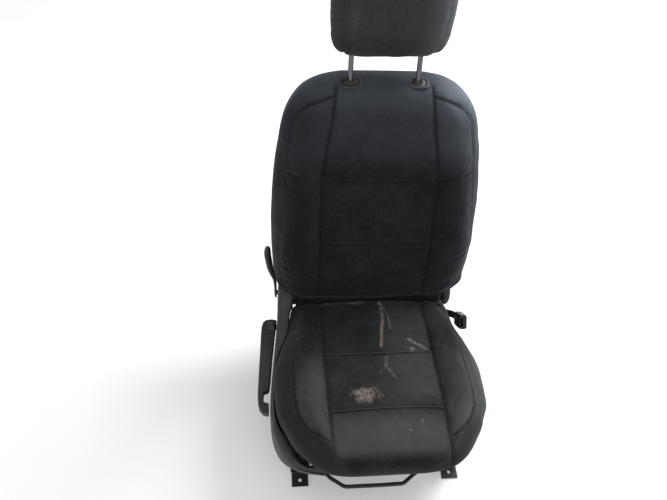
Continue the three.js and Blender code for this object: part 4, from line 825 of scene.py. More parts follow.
DUST = tone(158, 146, 134)


def weave(n, source, pitch):
    """Plain weave of this pitch, in metres, in the plane of source's X and Y."""
    across, along = (n.wave(0.314 / pitch, axis, source) for axis in "XY")
    under = n.math("MULTIPLY", n.math("SUBTRACT", 1.0, across), n.math("SUBTRACT", 1.0, along))
    return n.math("ADD", n.math("MULTIPLY", across, along), under)


def cloth(name, turn, dark, light, warm, blotch, pitch=0.0016):
    """Woven seat cloth whose paleness, with painted light and shade in it, warmth and dirt follow the pad's own
    attributes.
    """
    n = Nodes(name)
    n.feed(n.shader, {"Roughness": 0.92, "Sheen Weight": 0.09, "Sheen Roughness": 0.45,
                      "Sheen Tint": (0.75, 0.8, 0.9, 1), "Specular IOR Level": 0.16})
    threads = weave(n, n.moved(turn=turn), pitch)
    cloud = n.span(n.noise(9, 4, 0.6), 0.3, 0.7, -0.5, 0.5)
    patch = n.span(n.noise(32, 5, 0.62), 0.3, 0.7, -0.5, 0.5)
    uneven = n.math("MULTIPLY", n.math("ADD", cloud, n.math("MULTIPLY", patch, 0.6)), 0.42 * blotch)
    # How much paler the cloth is: the pad's light attribute, which holds painted light and shade, plus random uneven
    # tone.
    paler = n.math("ADD", n.read("light"), uneven)
    base = n.mix(n.math("MAXIMUM", n.math("MINIMUM", paler, 1.0), 0.0), dark, light)
    base = n.mix(n.math("MULTIPLY", n.read("warm"), n.span(n.noise(14, 3), 0.3, 0.7, 0.6, 1.0)), base, warm)
    gap = n.mix(0.5, base, (0.004, 0.0045, 0.006))
    base = n.mix(n.span(threads, 0.1, 0.8), gap, base)
    base = n.mix(n.span(n.noise(700, 2), 0.56, 0.74, 0.0, 0.16), base, DUST)
    crumbs = n.math("MULTIPLY", n.read("dirt"), n.span(n.noise(160, 6, 0.75), 0.34, 0.62))
    n.feed(n.shader, {"Base Color": n.mix(n.math("MINIMUM", crumbs, 1.0), base, DUST)})
    fuzz = n.noise(1500, 2)
    n.bump(n.math("ADD", n.math("MULTIPLY", threads, 0.8), n.math("MULTIPLY", fuzz, 0.7)), 0.5, 0.0004)
    return n.material


def moulded(name, color, rough, grain, depth, dusty=0.0):
    """Grained plastic with faint wear on its edges and, if asked, settled dust."""
    n = Nodes(name)
    paler, edge = (tuple(min(1.0, c * gain + more) for c in color) for gain, more in ((1.9, 0.004), (2.6, 0.01)))
    base = n.mix(n.span(n.noise(24, 4, 0.6), 0.35, 0.75, 0.0, 0.35), color, paler)
    corner = n.add("ShaderNodeNewGeometry").outputs["Pointiness"]
    base = n.mix(n.span(corner, 0.53, 0.62, 0.0, 0.3), base, edge)
    if dusty:
        settled = n.math("MULTIPLY", n.span(n.noise(7, 5, 0.65), 0.42, 0.72), dusty)
        base = n.mix(settled, base, (0.16, 0.14, 0.12))
    n.feed(n.shader, {"Base Color": base, "Roughness": n.span(n.noise(60, 3), 0.3, 0.7, rough - 0.08, rough + 0.1)})
    cells = n.add("ShaderNodeTexVoronoi", {"Vector": n.where, "Scale": grain})
    n.bump(cells.outputs["Distance"], 0.35, depth)
    return n.material


def metal(name, color, rough, streak, rust=0.0, metallic=1.0):
    """Bare or coated steel with drawn streaks, stains and, if asked, a little rust."""
    n = Nodes(name)
    lines = n.noise(120, 3, 0.6, n.moved(scale=streak))
    stain = n.noise(16, 5, 0.65)
    base = n.mix(n.span(stain, 0.35, 0.7, 0.0, 0.45), color, tuple(c * 0.55 for c in color))
    if rust:
        spots = n.math("MULTIPLY", n.span(n.noise(55, 6, 0.7), 0.56, 0.7), rust)
        base = n.mix(spots, base, (0.12, 0.045, 0.02))
    dull = n.math("ADD", n.span(lines, 0.3, 0.7, rough - 0.06, rough + 0.08), n.span(stain, 0.4, 0.7, 0.0, 0.12))
    n.feed(n.shader, {"Metallic": metallic, "Base Color": base, "Roughness": dull})
    n.bump(lines, 0.12, 0.0002)
    return n.material


BACK_TURN = (-RECLINE - math.pi / 2, 0, 0)
back_cloth = cloth("back_cloth", BACK_TURN, tone(12, 12, 15), tone(119, 126, 136), tone(44, 37, 42), 0.12)
seat_cloth = cloth("seat_cloth", (0, 0, 0), tone(13, 13, 14), tone(126, 130, 130), tone(43, 36, 38), 0.16)
head_cloth = cloth("head_cloth", BACK_TURN, tone(13, 13, 15), tone(124, 127, 130), tone(52, 42, 45), 0.12)
rear_cloth = cloth("rear_trim", BACK_TURN, tone(24, 25, 29), tone(60, 62, 68), tone(48, 42, 46), 0.6, 0.0022)
thread = moulded("thread", tone(40, 41, 47), 0.8, 2500, 0.0001)
light_thread = moulded("light_thread", tone(84, 84, 86), 0.8, 2500, 0.0001)
cover_plastic = moulded("cover_plastic", tone(27, 24, 25), 0.58, 1100, 0.00025, 0.22)
lever_plastic = moulded("lever_plastic", tone(17, 17, 18), 0.45, 1300, 0.0001, 0.12)
bezel_plastic = moulded("bezel_plastic", tone(34, 34, 36), 0.56, 1200, 0.0001, 0.1)
buckle_plastic = moulded("buckle_plastic", tone(17, 17, 18), 0.4, 1300, 0.0001)
button_plastic = moulded("button_plastic", tone(44, 16, 15), 0.36, 1500, 0.00005)
bush_plastic = moulded("bush_plastic", tone(168, 164, 148), 0.45, 900, 0.0001)
satin_steel = metal("satin_steel", tone(118, 119, 122), 0.3, (1, 1, 0.08))
zinc_steel = metal("zinc_steel", tone(112, 112, 110), 0.42, (1, 0.06, 1), 0.55)
black_steel = metal("black_steel", tone(34, 34, 36), 0.46, (1, 1, 1), 0.25, 0.25)
spring_steel = metal("spring_steel", tone(96, 98, 102), 0.34, (1, 1, 1), 0.3)
FINISH_BY_SLOT = {
    "zinc_steel": zinc_steel, "polished_steel": satin_steel, "black_steel": black_steel,
    "spring_steel": spring_steel, "bush_plastic": bush_plastic, "cover_plastic": cover_plastic,
    "dark_plastic": lever_plastic, "red_plastic": button_plastic, "back_fabric": back_cloth,
    "seat_fabric": seat_cloth, "rear_trim": rear_cloth,
}


def paint(obj, material):
    obj.data.materials.clear()
    obj.data.materials.append(material)


for piece in frame["record"]["subparts"]:
    node = frame["nodes"].get(piece["node"])
    if node is not None:
        is_rail = piece["node"].startswith("lower_rail")
        paint(node, black_steel if is_rail else FINISH_BY_SLOT[piece["material_slot"]])


def place_piece(obj, body, material, slot_name, *nodes):
    paint(obj, material)
    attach(obj, body)
    if nodes:
        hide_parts(*nodes)


# ------------------------------------------------------------------ backrest, cushion, head restraint
def near(plan, spot, size):
    return np.exp(-np.sum(((plan - spot) / size) ** 2, axis=1))


def below(equator, free):
    """How firmly a pad is held below its equator; it is free this far above."""
    def held(points):
        edge = equator(points[:, :2])
        return 1 - smooth_step(points[:, 2], edge - 6, edge + free)

    return held


back_pad = Pad(back_half, BACK_LOW, BACK_TOP, 300, [(-205, 8), (205, 8), (205, 582), (-205, 582)],
               back_height, back_equator, 30, back_wall)
back, distance = make_pad("backrest_cover", back_pad, lean_back, (150, 170), (56, 64), back_seams,
                          below(back_equator, 22), 6.5, 11, folds=back_folds)
plan = back_pad.plan[:, :2]
across, up = plan.T
outside = smooth_step(np.abs(across) - back_insert(up), -4, 4)
right, left = smooth_step(across, 90, 230), smooth_step(-across, 90, 230)
# Painted light and shade: the back paler towards its top, a painted highlight over the right bolster and shoulder,
# painted shade on the upper left bolster.
light = 0.022 + 0.11 * smooth_step(up, 380, 490) + 0.15 * smooth_step(up, 530, 600)
light += right * (0.035 + 0.14 * smooth_step(up, 400, 500) + 0.5 * smooth_step(up, 505, 590) + 0.12 * outside)
light -= 0.05 * left * smooth_step(up, 400, 520)
# Painted shade in the seams' grooves.
light *= 1 - 0.75 * np.exp(-((distance / 4) ** 2))
shade(back, np.clip(light, 0, 1), 0.5 * outside * left * smooth_step(up, 620, 420),
      0.3 * near(plan, (-20, -4), (120, 12)))
dimpled = coordinates(back)
for side in (-1, 1):
    apart = dimpled - lean_back((side * POST_HALF, POST_DEPTH + 5, 0))
    level = apart @ BACK_UP / (BACK_UP @ BACK_UP)
    radius = np.linalg.norm(apart - level[:, None] * BACK_UP, axis=1) * 1000
    sink = 6 * np.exp(-((radius / 27) ** 2)) * smooth_step(level, 540, 590)
    dimpled = dimpled - sink[:, None] * BACK_UP
set_coordinates(back, dimpled)
finish_pad(back, "backrest", "backrest_pad", "back_fabric", back_cloth)

cushion_pad = Pad(cushion_half, CUSHION_NOSE, CUSHION_REAR, 260, [(-205, -250), (205, -250), (202, 177), (-202, 177)],
                  cushion_height, cushion_equator, 34, cushion_wall)
cushion, distance = make_pad("cushion_cover", cushion_pad, cushion_space, (150, 130), (58, 50), cushion_seams,
                             below(cushion_equator, 24), 7.0, 23, folds=cushion_folds)
plan = cushion_pad.plan[:, :2]
across, y = plan.T
outside = smooth_step(np.abs(across) - cushion_insert(y), -4, 4)
middle = smooth_step(CUSHION_PANEL - np.abs(across), -2, 2)
right, left = (across > 0) * 1.0, (across < 0) * 1.0
# Partly the cloth's own paler and darker panels, partly painted light: the right side lit more than the left, the
# front lighter than the rear.
centre = 0.03 + 0.03 * smooth_step(-y, -60, 60) + 0.15 * smooth_step(-y, 150, 210)
centre += 0.09 * smooth_step(across, -30, 70) * smooth_step(y, -170, -120)
bolster = right * (0.07 + 0.09 * smooth_step(-y, -60, 80) + 0.09 * smooth_step(-y, 120, 200))
bolster += left * (0.015 + 0.17 * smooth_step(-y, -30, 90))
skirt = left * 0.03 + right * (0.12 + 0.16 * smooth_step(-y, -60, 40) - 0.16 * smooth_step(-y, 150, 230))
light = middle * centre + (1 - middle) * ((1 - outside) * bolster + outside * skirt)
# Painted shade over the nose's front face.
light -= (light - 0.02) * smooth_step(-y, 262, 292)
# Painted shade in the seams' grooves.
light *= 1 - 0.75 * np.exp(-((distance / 4) ** 2))
# Painted shade along the left side and on the right bolster, and a painted highlight along the right outer edge.
light -= 0.09 * near(plan, (-225, 10), (45, 130)) + 0.08 * near(plan, (200, 20), (22, 90))
light += 0.12 * near(plan, (262, -40), (16, 90))
ragged = 0.3 * ripple(plan, 71, 26) + 0.2 * ripple(plan, 72, 9)
blotch = np.linalg.norm((plan - (-50, -126)) / (36, 26), axis=1)
dirt = 0.52 * smooth_step(1 - blotch + ragged * 0.8, -0.05, 0.6)
dirt += 0.6 * near(plan, (-30, 176), (80, 9)) * (0.7 + 0.5 * ragged)
broken = 0.65 + 0.35 * ripple(plan, 73, 13)
for strength, width, stroke in (
    (1.05, 3.4, [(22, 176), (24, 110), (16, 60), (8, 16)]), (0.5, 2.4, [(26, 160), (38, 110), (40, 66)]),
    (0.32, 4, [(20, -14), (14, -44), (30, -78)]), (0.2, 3, [(13, -44), (-6, -70)]),
    (0.9, 3.6, [(84, 34), (106, 20), (126, 8)]),
):
    dirt += strength * broken * np.exp(-(distance_to(plan, spline_line(stroke)) / width) ** 2)
for strength, spot, size in (
    (0.7, (90, 6), (6, 4)), (0.8, (-44, 164), (20, 8)), (0.3, (-120, 168), (30, 12)),
    (0.7, (78, -200), (3, 3)), (0.6, (46, -222), (3, 2)),
):
    dirt += strength * near(plan, spot, size)
shade(cushion, np.clip(light, 0, 1), 0.8 * outside * left + 0.3 * outside * right * smooth_step(-y, 150, 230),
      np.clip(dirt, 0, 1))
finish_pad(cushion, "cushion", "cushion_pad", "seat_fabric", seat_cloth)


def lean_restraint(points):
    """The pad hangs a little over towards the tunnel side on its posts."""
    across, depth, height = np.moveaxis(np.asarray(points, float), -1, 0)
    return lean_back(stacked(across + 2 + 0.06 * (height - RESTRAINT_HEIGHT), depth, height))


restraint_pad = Pad(
    lambda at: restraint_half(at - RESTRAINT_HEIGHT), RESTRAINT_HEIGHT, RESTRAINT_HEIGHT + RESTRAINT_TALL, 160,
    [(-118, 684), (118, 684), (122, 842), (-122, 842)], restraint_face,
    lambda plan: restraint_middle(plan[:, 1] - RESTRAINT_HEIGHT), 38, lambda ring, inward, equator: [],
    restraint_rear, 36)
head, distance = make_pad("head_restraint_cover", restraint_pad, lean_restraint, (84, 66), (40, 32), restraint_seams,
                          lambda points: np.where(points[:, 2] > 0, 0.0, 0.35), 4.0, 37, 0.8)
plan = restraint_pad.plan[:, :2]
across, up = plan.T
# Painted light: the restraint's right side lighter and its top a little lighter.
light = 0.1 + 0.05 * smooth_step(up, 690, 740) + 0.3 * smooth_step(across, 40, 130)
# Painted shade in the seams' grooves.
light -= 0.05 * np.exp(-(distance / 3) ** 2)
shade(head, light, 0.25 * smooth_step(-across, 60, 130), 0.1 * near(plan, (-92, 760), (10, 26)))
finish_pad(head, "head_restraint", "head_restraint_pad", "back_fabric", head_cloth)

back_rows = [(line, side) for line in back_inserts for side in (-1, 1)] + [(back_high, 1), (back_low, 1)]
stitches("back_stitches", back, "backrest", "back_fabric", thread, back_rows, lean_back, BACK_FORWARD)
stitches("cushion_stitches", cushion, "cushion", "seat_fabric", thread,
         [(line, side) for line in cushion_inserts for side in (-1, 1)], cushion_space, (0, 0, 1))
stitches("cushion_light_stitches", cushion, "cushion", "seat_fabric", light_thread,
         [(line, 1) for line in cushion_cross], cushion_space, (0, 0, 1))


def rear_hem():
    """Stiff strip that hooks the cushion's cover behind the pan."""
    y, z = np.array([(172, 228), (180, 230), (188, 229), (193, 227), (195.4, 224), (195.8, 218), (194.2, 217.6),
                     (193.4, 222.6), (191.4, 225), (187, 226.8), (180, 227.8), (173, 226)]).T
    across = np.linspace(-206, 206, 104)[:, None]
    end = 3 * (np.abs(across) / 206) ** 8
    wave = 0.5 * np.sin(across / 17) + 0.4 * np.sin(across / 7.3 + 1)
    return soften(loft("cushion_rear_hem", row(stacked(across, y - end, z - end + wave))), 40)


hem = rear_hem()
shade(hem, 0.2)
place_piece(hem, "cushion", rear_cloth, "rear_trim")

# ------------------------------------------------------------------ covers
SHIELD_WALL, REAR_WALL = 0.0026, 0.0024
shield_top = profile([
    (-271, 188), (-255, 190), (-236, 198), (-212, 211), (-170, 217), (-100, 219), (0, 223), (80, 231),
    (150, 250), (185, 272), (215, 286), (245, 284), (262, 266), (272, 244),
])
shield_bottom = profile([
    (-271, 168), (-250, 152), (-203, 110), (-150, 82), (-90, 74), (60, 76), (150, 104), (210, 142), (250, 178),
    (272, 214),
])
shield_lip = profile([
    (-271, 6), (-240, 14), (-150, 12), (-60, 12), (40, 17), (110, 24), (160, 36), (200, 36.5), (250, 33), (272, 24),
])


def rod(name, y, z, start, end, radius, sides):
    """Round bar on the door side, between two distances from the side plate."""
    return tube(name, row([(-PLATE_OUTER - start, y, z), (-PLATE_OUTER - end, y, z)]), radius, sides)


def side_shield():
    """Door-side cover whose top edge turns in over the frame towards the cushion."""
    line = spline_line([(PLATE_OUTER + out, y) for out, y in (
        (29.5, 272), (36.5, 232), (40.5, 152), (48.5, 70), (56.5, -10), (62.5, -90), (59.5, -150), (46.5, -197),
        (24.5, -233), (-12.5, -258), (-66.5, -271),
    )], 2.0)
    line = smooth_loop(line, 5.0, closed=False)
    out = leftward(line)
    if out[len(out) // 2][0] < 0:
        out = -out
    x, y = line.T
    room = distance_to(line, cushion_pad.outline) - 4 + 5 * smooth_step(-y, 150, 240)
    free = smooth_step(y, 150, 185)
    lip = np.clip(room * (1 - free) + shield_lip(y) * free, 5, 36)
    low, high = shield_bottom(y), shield_top(y)
    tall = high - low
    under = np.minimum(high - 16, cushion_rim(stacked(0, y)) - 9)
    shelf = smooth_step(-y, -76, -56)
    inner = np.maximum(lip + 6, np.where(y > -236, np.minimum(x - PLATE_OUTER - 2.5, lip + 30), lip + 12))
    section = [
        (-9, low + 1), (-3, low - 0.3), (0, low + 1.6), (1.4, low + 0.16 * tall), (2.1, low + 0.36 * tall),
        (2.4, low + 0.56 * tall), (1.8, low + 0.76 * tall), (0.6, high - 12), (-0.8, high - 6.4),
        (-3.6, high - 2.2), (-7.6, high), (-0.55 * lip - 4, high + 0.4), (-0.85 * lip - 3, high - 0.8),
        (-lip - 3, high - 3), (-lip - 4, high - 7), (-lip - 4, high - 12),
        (-lip - 4 - 0.4 * shelf, high - 13 - (high - 16 - under) * shelf),
        (-lip - 4.4 - 0.15 * (inner - lip) * shelf, high - 14 - (high - 14 - under) * shelf),
        (-lip - 4.8 - (inner - lip - 4) * shelf, high - 15 - (high - 15 - under) * shelf),
    ]
    grid = np.stack([stacked(-(x + out[:, 0] * d), y + out[:, 1] * d, z) for d, z in section], 1)
    obj = shell("side_shield_cover", row(grid), SHIELD_WALL, (-1, 0, 0))
    modify(obj, "SUBSURF", levels=1, render_levels=1)
    bosses = [rod("boss", y, z, 0.3, far, 0.006, 28) for y, z, far in ((-20, 155, 57), (98, 150, 44))]
    obj = join("side_shield_cover", [obj, *bosses])
    for y, z in ((PIVOT_Y, PIVOT_Z), (LEVER_Y, LEVER_Z)):
        cut(obj, rod("bore", y, z, 10, 80, 0.009, 40))
    return soften(obj)


place_piece(side_shield(), "cushion", cover_plastic, "cover_plastic", "side_shield")
cap = turned("recliner_cap", [
    (44.6, 0.4), (46.4, 0), (47, 1), (47, 11), (46.4, 14.4), (44.6, 17.4), (42, 19.4), (38.6, 21), (34, 21.8),
    (26, 22), (24, 21.4), (12, 21.2), (6, 21.2), (0.5, 21.2),
], (PLATE_OUTER + 0.3, PIVOT_Y, PIVOT_Z))
place_piece(soften(cap), "cushion", cover_plastic, "cover_plastic", "recliner_cover_inboard")

rear_bulge = profile([(-46, 8), (-41, 24), (-28, 38), (-8, 47), (25, 53), (80, 58), (300, 63), (520, 58), (600, 49)])
rear_half = profile([
    (-46, 176), (0, 190), (40, 206), (80, 240), (120, 256), (230, 260), (400, 250), (500, 236), (545, 220),
    (580, 194), (600, 160),
])


def rear_panel():
    """Cover behind the back: bulged in the middle, drawn in to its edges."""
    height = np.unique(np.concatenate([np.linspace(-46, -20, 10), np.linspace(-20, 600, 110)]))[:, None]
    across = np.linspace(-1, 1, 90)
    drop, side, middle = np.abs(across) ** 3, smooth_step(height, 55, 90), rear_bulge(height)
    depth = (middle - 2 * drop) * (1 - side) + (middle + (47.9 - middle) * drop) * side
    depth += 2.2 * np.cos(across * math.pi / 2) * smooth_step(height, 90, 150) * smooth_step(-height, -560, -500)
    grid = lean_back(stacked(across * rear_half(height), -depth, height))
    return soften(shell("rear_panel", grid, REAR_WALL, (0, 1, 0)))


rear = rear_panel()
shade(rear, 0.25)
place_piece(rear, "backrest", rear_cloth, "rear_trim", "backrest_rear_cover")


# ------------------------------------------------------------------ levers and bar
def slab(name, loop, low, high, edge):
    """Flat piece with rounded edges beside the side plate: a loop of (distance from the plate, y),
    between two heights about the lever's axis."""
    curve = bpy.data.curves.new(name, "CURVE")
    curve.dimensions, curve.fill_mode = "2D", "BOTH"
    curve.extrude, curve.offset = (high - low) / 2 - edge, -edge
    curve.bevel_depth, curve.bevel_resolution = edge, 3
    spline = curve.splines.new("POLY")
    spline.points.add(len(loop) - 1)
    for point, (u, v) in zip(spline.points, loop):
        point.co = (u, v, 0, 1)
    spline.use_cyclic_u = True
    carrier = add_object(name, curve)
    mesh = final_mesh(carrier)
    bpy.data.objects.remove(carrier)
    clean(mesh, 0.01)
    obj = add_object(name, mesh)
    u, v, height = coordinates(obj).T
    set_coordinates(obj, row(stacked(-(PLATE_OUTER + u), v, LEVER_Z + height + (low + high) / 2)))
    clean(mesh)
    return soften(obj, 40)


def lift_handle():
    """Long grip beside the cover, hollowed on top, open to the cover near its front end."""
    outer = smooth_loop([
        (43.6, 158), (56, 162), (74, 160), (82, 152), (86, 138), (87.4, 118), (90, 60), (94, -14), (96, -60),
        (95.6, -84), (92, -102), (84, -113), (74, -117), (68.5, -117), (67.6, -106), (67.8, -92), (69, -87), (77, -86),
        (80.6, -83), (81.4, -76), (80.6, -62), (78.5, -57), (71, -55.6), (66.6, -52), (63.4, -30), (57, 40),
        (50.4, 100), (45.4, 140),
    ], 1.6, 1.2)
    grip = slab("lift_handle", outer, -11, 11, 3.2)
    hollow = smooth_loop([
        (49, 148), (72, 151), (78, 140), (80.6, 112), (84, 60), (87.6, -10), (89.4, -50), (89.2, -84), (85.4, -100),
        (84.6, -60), (81, -50.6), (71, -48), (68, -30), (61.4, 40), (54.6, 100),
    ], 1.6, 1.0)
    cut(grip, slab("hollow", hollow, 1.5, 16, 0.6))
    hub = turned("hub", [(16, 0), (17, 1), (17, 15), (15.6, 17.4), (12, 18), (0.5, 18)],
                 (-PLATE_OUTER - 51.5, LEVER_Y, LEVER_Z), -1)
    shaft = rod("shaft", LEVER_Y, LEVER_Z, 24, 60, 0.007, 32)
    return soften(join("lift_handle", [grip, hub, shaft]), 40)


def paddle():
    """Blade that stands up beside the back, thinner at its edges."""
    stations = np.array([
        (-16, 41.5, 6, 11), (-8, 41.5, 7, 16), (4, 41.5, 7.4, 17.5), (22, 41.5, 8, 16), (44, 41.8, 11, 14),
        (60, 43.8, 16.5, 13.5), (75, 47.4, 19, 13.8), (90, 51.4, 18.6, 14.2), (120, 55.6, 19, 15),
        (134, 56.6, 18, 14.4), (142, 58.4, 13.4, 12), (146, 61, 7, 7),
    ])
    height = np.concatenate([np.linspace(-16, 0, 8), np.linspace(6, 128, 26), np.linspace(131, 146, 9)])[:, None]
    gap, thick, half = (profile(stations[:, [0, k]])(height) for k in (1, 2, 3))
    c, s = around(40)
    out = gap + thick * (0.5 + 0.5 * bowed(c, 0.6))
    rings = lean_back(stacked(-(PLATE_OUTER + out), -8 - half * bowed(s, 0.75), height))
    blade = loft("recliner_paddle", rings)
    return soften(join("recliner_paddle", [blade, rod("rod", PIVOT_Y, PIVOT_Z, 3, 43.5, 0.007, 32)]))


place_piece(lift_handle(), "lift_lever", lever_plastic, "dark_plastic", "lift_lever")
place_piece(paddle(), "recliner_lever", lever_plastic, "dark_plastic", "recliner_lever")
bar = tube("release_handle", row(bent_path([
    (-BAR_HALF, BAR_Y, BAR_Z), (-BAR_HALF, -168, 63), (-133, -256, 104), (-98, -283, 112), (0, -283.6, 112.3),
    (52, -283, 112), (80, -262, 106), (133, -225, 90), (BAR_HALF, -168, 63), (BAR_HALF, BAR_Y, BAR_Z),
], 22, 10)), 0.005, 28)
eye_section = [(3.8, 0.3), (4.2, 0), (7.6, 0), (8, 0.5), (8, 9.5), (7.6, 10), (4.2, 10), (3.8, 9.7), (3.8, 0.3)]
eyes = [turned("eye", eye_section, (side * BAR_HALF - 5, BAR_Y, BAR_Z)) for side in (-1, 1)]
place_piece(soften(join("release_handle", [bar, *eyes])), "release_bar", black_steel, "black_steel", "release_bar")

# ------------------------------------------------------------------ head restraint's posts and guides
COLLAR_HEIGHT = 11.4
post_path = bent_path([(-POST_HALF, POST_DEPTH, 478), (-POST_HALF, POST_DEPTH, 788), (POST_HALF, POST_DEPTH, 788),
                       (POST_HALF, POST_DEPTH, 478)], 26, 12)
posts = tube("posts", lean_back(post_path), 0.0065, 36)
place_piece(soften(posts, 60), "head_restraint", satin_steel, "polished_steel", "head_restraint_posts")


def surface_spot(obj, across, depth):
    """Where a ray down the back meets the padding, and the padding's direction round there."""
    tree = BVHTree.FromObject(obj, bpy.context.evaluated_depsgraph_get())
    down = Vector(-BACK_UP).normalized()
    hits = {(a, d): tree.ray_cast(Vector(lean_back((across + a, depth + d, 700))), down)[:2]
            for a in (-18, -9, 0, 9, 18) for d in (-6, 0, 8)}
    way = np.mean([np.array(normal) for hit, normal in hits.values() if hit is not None], 0)
    return np.array(hits[0, 0][0]), way / np.linalg.norm(way)


def guide(side):
    """Rim round a post where it enters the back, with a raised collar."""
    spot, way = surface_spot(back, side * POST_HALF, POST_DEPTH)
    along = np.array([1.0, 0, 0])
    depthwise = np.cross(way, along)
    depthwise /= np.linalg.norm(depthwise)
    level = (spot - BACK_FOOT) @ BACK_UP / (BACK_UP @ BACK_UP)
    rise = min(1.0, max(0.35, (LOWEST_RESTRAINT - level) / COLLAR_HEIGHT))
    ahead = 1 if depthwise @ BACK_FORWARD > 0 else -1

    def place(x, y, height):
        """From the padding's own plane at the post to the row frame."""
        return spot + (np.outer(x, along) + np.outer(y, depthwise) + height * way) / 1000

    c, s = around(72)
    rings = []
    for long, wide, height, power, lead in (
        (23.4, 15.4, -12, 0.6, 6), (25.4, 17, -3, 0.6, 6), (26, 17.6, 2.4, 0.6, 6), (25.4, 17, 5.4, 0.6, 6),
        (23.8, 15.6, 7.4, 0.62, 6), (21.8, 14, 7.6, 0.66, 5.6), (20, 12.8, 6.2, 0.7, 5), (17.6, 11.8, 5, 0.78, 4),
        (13.6, 11, 5, 0.9, 1.6), (11.6, 10.8, 7.6, 1, 0.4), (10.8, 10.4, 10.4, 1, 0), (9.8, 9.8, COLLAR_HEIGHT, 1, 0),
        (8.2, 8.2, 11, 1, 0), (6.9, 6.9, 9.4, 1, 0), (6.9, 6.9, -12, 1, 0),
    ):
        high = height * rise if height > 0 else height
        rings.append(place(long * bowed(c, power), wide * bowed(s, power) + ahead * lead, high))
    return soften(loft("guide_rim", rings)), place


left_guide, on_guide = guide(-1)
right_guide, _ = guide(1)
place_piece(left_guide, "backrest", bezel_plastic, "dark_plastic", "restraint_sleeve_outboard")
place_piece(right_guide, "backrest", bezel_plastic, "dark_plastic", "restraint_sleeve_inboard")
c, s = around(40)
button = loft("restraint_catch", [
    on_guide(-18.6 + wide * bowed(c, 0.7), long * bowed(s, 0.7), height) for long, wide, height in (
        (5.4, 2.2, 1), (5.8, 2.5, 7), (5.6, 2.4, 9.4), (4.8, 1.8, 10.4), (2, 0.8, 10.6))])
place_piece(soften(button), "restraint_button", lever_plastic, "dark_plastic", "restraint_button")

# ------------------------------------------------------------------ belt buckle
STALK_STEP, CASE_FOOT, CASE_TOP = 21.0, 102.3, 162.3


def on_stalk(points):
    """(across, width, height up the stalk) to the row frame."""
    across, width, height = np.moveaxis(np.asarray(points, float), -1, 0)
    y = BUCKLE_Y + width * math.cos(BUCKLE_LEAN) - height * math.sin(BUCKLE_LEAN)
    z = BUCKLE_Z + width * math.sin(BUCKLE_LEAN) + height * math.cos(BUCKLE_LEAN)
    return row(stacked(BUCKLE_X + across, y, z))


def rounded(half_across, half_wide, corner, count):
    """Rectangle with round corners."""
    c, s = around(count)
    x = np.sign(c) * (half_across - corner) * (np.abs(c) > 0.05) + corner * c
    return stacked(x, np.sign(s) * (half_wide - corner) * (np.abs(s) > 0.05) + corner * s)


def boxy(name, across, sections, count):
    """Round-cornered form up the stalk through (half across, half wide, corner, height) sections."""
    rings = []
    for half_across, half_wide, corner, height in sections:
        flat = rounded(half_across, half_wide, corner, count)
        rings.append(stacked(STALK_STEP + across + flat[:, 0], flat[:, 1], height))
    return loft(name, on_stalk(rings))


def buckle_case():
    """Closed case with a slot for the tongue and one for the press."""
    case = boxy("buckle_case", 0, [(11 * w, 20 * d, 6.2 * w, CASE_FOOT + height) for height, w, d in (
        (0, 0.62, 0.72), (2, 0.74, 0.82), (8, 0.92, 0.94), (16, 0.98, 0.99), (26, 1, 1), (46, 1, 1),
        (53, 0.98, 0.985), (57.6, 0.92, 0.95), (59.6, 0.84, 0.9), (60, 0.72, 0.84))], 48)
    for across, low, wide, thick in ((-4.5, -24, 13, 3), (4.6, -15, 13.3, 3.8)):
        cut(case, boxy("slot", across, [(thick, wide, 0.8, CASE_TOP + height) for height in (low, 8)], 24))
    return soften(case, 35)


def buckle_press():
    sections = [(3.5 - inset * 0.8, 13 - inset, 1.4, CASE_TOP + height) for height, inset in (
        (-9.6, 0), (-2.4, 0), (-1.2, 0.4), (-0.6, 1.2), (-0.4, 2.2))]
    return soften(boxy("buckle_press", 4.6, sections, 32), 40)


def buckle_strap():
    """Flat strap that steps sideways to the case, with the eye its bolt passes."""
    middle = bent_path([(0, 0, 0), (0, 0, 33), (STALK_STEP, 0, 67), (STALK_STEP, 0, 102)], 9, 6)
    middle = smooth_loop(middle, 3.0, closed=False)
    flat = rounded(2, 10, 1.2, 24)
    rings = [point + np.outer(flat[:, 0], (way[2], 0, -way[0])) + np.outer(flat[:, 1], (0, 1, 0))
             for point, way in zip(middle, heading(middle))]
    section = [(14.2, 0), (15, 0.8), (15, 3.2), (14.2, 4), (6, 4), (5.8, 3.6), (5.8, 0.4), (6, 0), (14.2, 0)]
    strap, eye = loft("buckle_strap", on_stalk(rings)), turned("eye", section, (-2, 0, 0), place=on_stalk)
    return soften(join("buckle_strap", [strap, eye]), 40)


place_piece(buckle_case(), "buckle", buckle_plastic, "dark_plastic", "buckle_head")
place_piece(buckle_strap(), "buckle", black_steel, "zinc_steel", "buckle_stalk")
place_piece(buckle_press(), "buckle_button", button_plastic, "red_plastic", "buckle_button")


# ------------------------------------------------------------------ springs
SPRING_PITCH, SPRING_REACH, SPRING_WAVES = 0.084, 0.024, 4


def zigzag(start, end, swing):
    """Wire points from start to end in waves, with less swing near the ends."""
    t = np.linspace(0, 1, SPRING_WAVES * 16 + 1)
    swayed = np.sin(2 * math.pi * SPRING_WAVES * t) * np.minimum(1, 8 * np.minimum(t, 1 - t))
    return np.asarray(start) + np.outer(t, np.asarray(end) - start) + np.outer(swayed, swing)


for i in range(4):
    low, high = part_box(f"seat_spring_{i + 1}")
    radius = (high.z - low.z) / 2
    x, z = (i - 1.5) * SPRING_PITCH + SHIFT[0] / 1000, (low.z + high.z) / 2
    wire = tube(f"seat_wire_{i + 1}", zigzag((x, low.y, z), (x, high.y, z), (SPRING_REACH - radius, 0, 0)), radius, 14)
    place_piece(wire, "cushion", spring_steel, "spring_steel", f"seat_spring_{i + 1}")

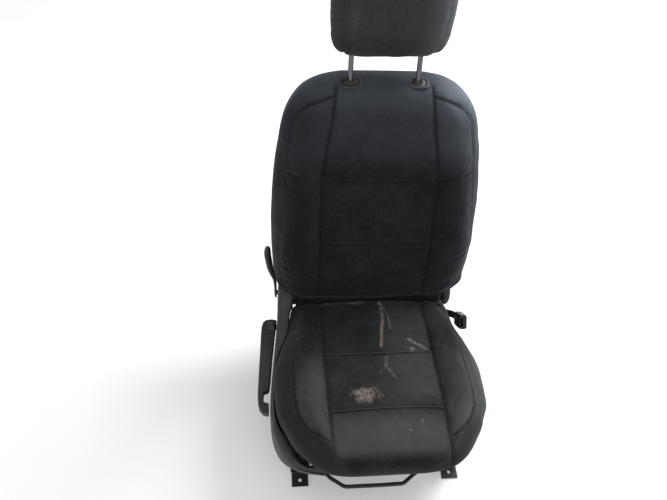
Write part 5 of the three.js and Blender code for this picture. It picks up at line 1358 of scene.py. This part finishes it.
# ------------------------------------------------------------------ camera, light and floor
YAW, PITCH, ROLL, FOCAL, WIDE = math.radians(9.37), math.radians(52.17), math.radians(6.47), 608.33, 667
SENSOR, FLOOR_HALF = 36, 6
forward = np.array([math.sin(YAW) * math.cos(PITCH), math.cos(YAW) * math.cos(PITCH), -math.sin(PITCH)])
level = np.array([math.cos(YAW), -math.sin(YAW), 0])
upright = np.cross(level, forward)
camera_right = math.cos(ROLL) * level + math.sin(ROLL) * upright
camera_up = -math.sin(ROLL) * level + math.cos(ROLL) * upright
camera = add_object("camera", bpy.data.cameras.new("camera"))
camera.data.sensor_width, camera.data.lens = SENSOR, SENSOR * FOCAL / WIDE
turn = Matrix(stacked(camera_right, camera_up, -forward).tolist()).to_4x4()
camera.matrix_world = Matrix.Translation((-0.24844, -0.86518, 1.67968)) @ turn
bpy.context.scene.camera = camera

n = Nodes("floor")
n.feed(n.shader, {
    "Base Color": n.mix(n.span(n.noise(3, 2), 0.3, 0.7), (0.86, 0.86, 0.86), (0.9, 0.9, 0.9)),
    "Roughness": 0.9, "Emission Color": (1, 1, 1, 1), "Emission Strength": 0.08,
})
corners = [(x * FLOOR_HALF, y * FLOOR_HALF, 0) for x, y in ((-1, -1), (1, -1), (1, 1), (-1, 1))]
floor = mesh_object("floor", corners, [(0, 1, 2, 3)], smooth=False)
paint(floor, n.material)

view = bpy.context.scene.view_settings
view.view_transform, view.look, view.exposure, view.gamma = "Standard", "None", 0.0, 1.0
world = bpy.data.worlds.new("world")
world.use_nodes = True
world.node_tree.nodes["Background"].inputs["Color"].default_value = (0.95, 0.97, 1.0, 1)
world.node_tree.nodes["Background"].inputs["Strength"].default_value = 0.72
bpy.context.scene.world = world


def area_light(name, spot, target, size, power):
    lamp = bpy.data.lights.new(name, "AREA")
    lamp.shape, lamp.size, lamp.energy = "DISK", size, power
    obj = add_object(name, lamp)
    obj.location = spot
    obj.rotation_mode = "QUATERNION"
    obj.rotation_quaternion = (Vector(target) - Vector(spot)).to_track_quat("-Z", "Y")


area_light("sky_light", (1.7, 1.5, 2.5), (0, 0.1, 0.4), 1.6, 100)
area_light("fill_light", (-0.6, -2.2, 2.4), (0, 0, 0.4), 1.6, 14)
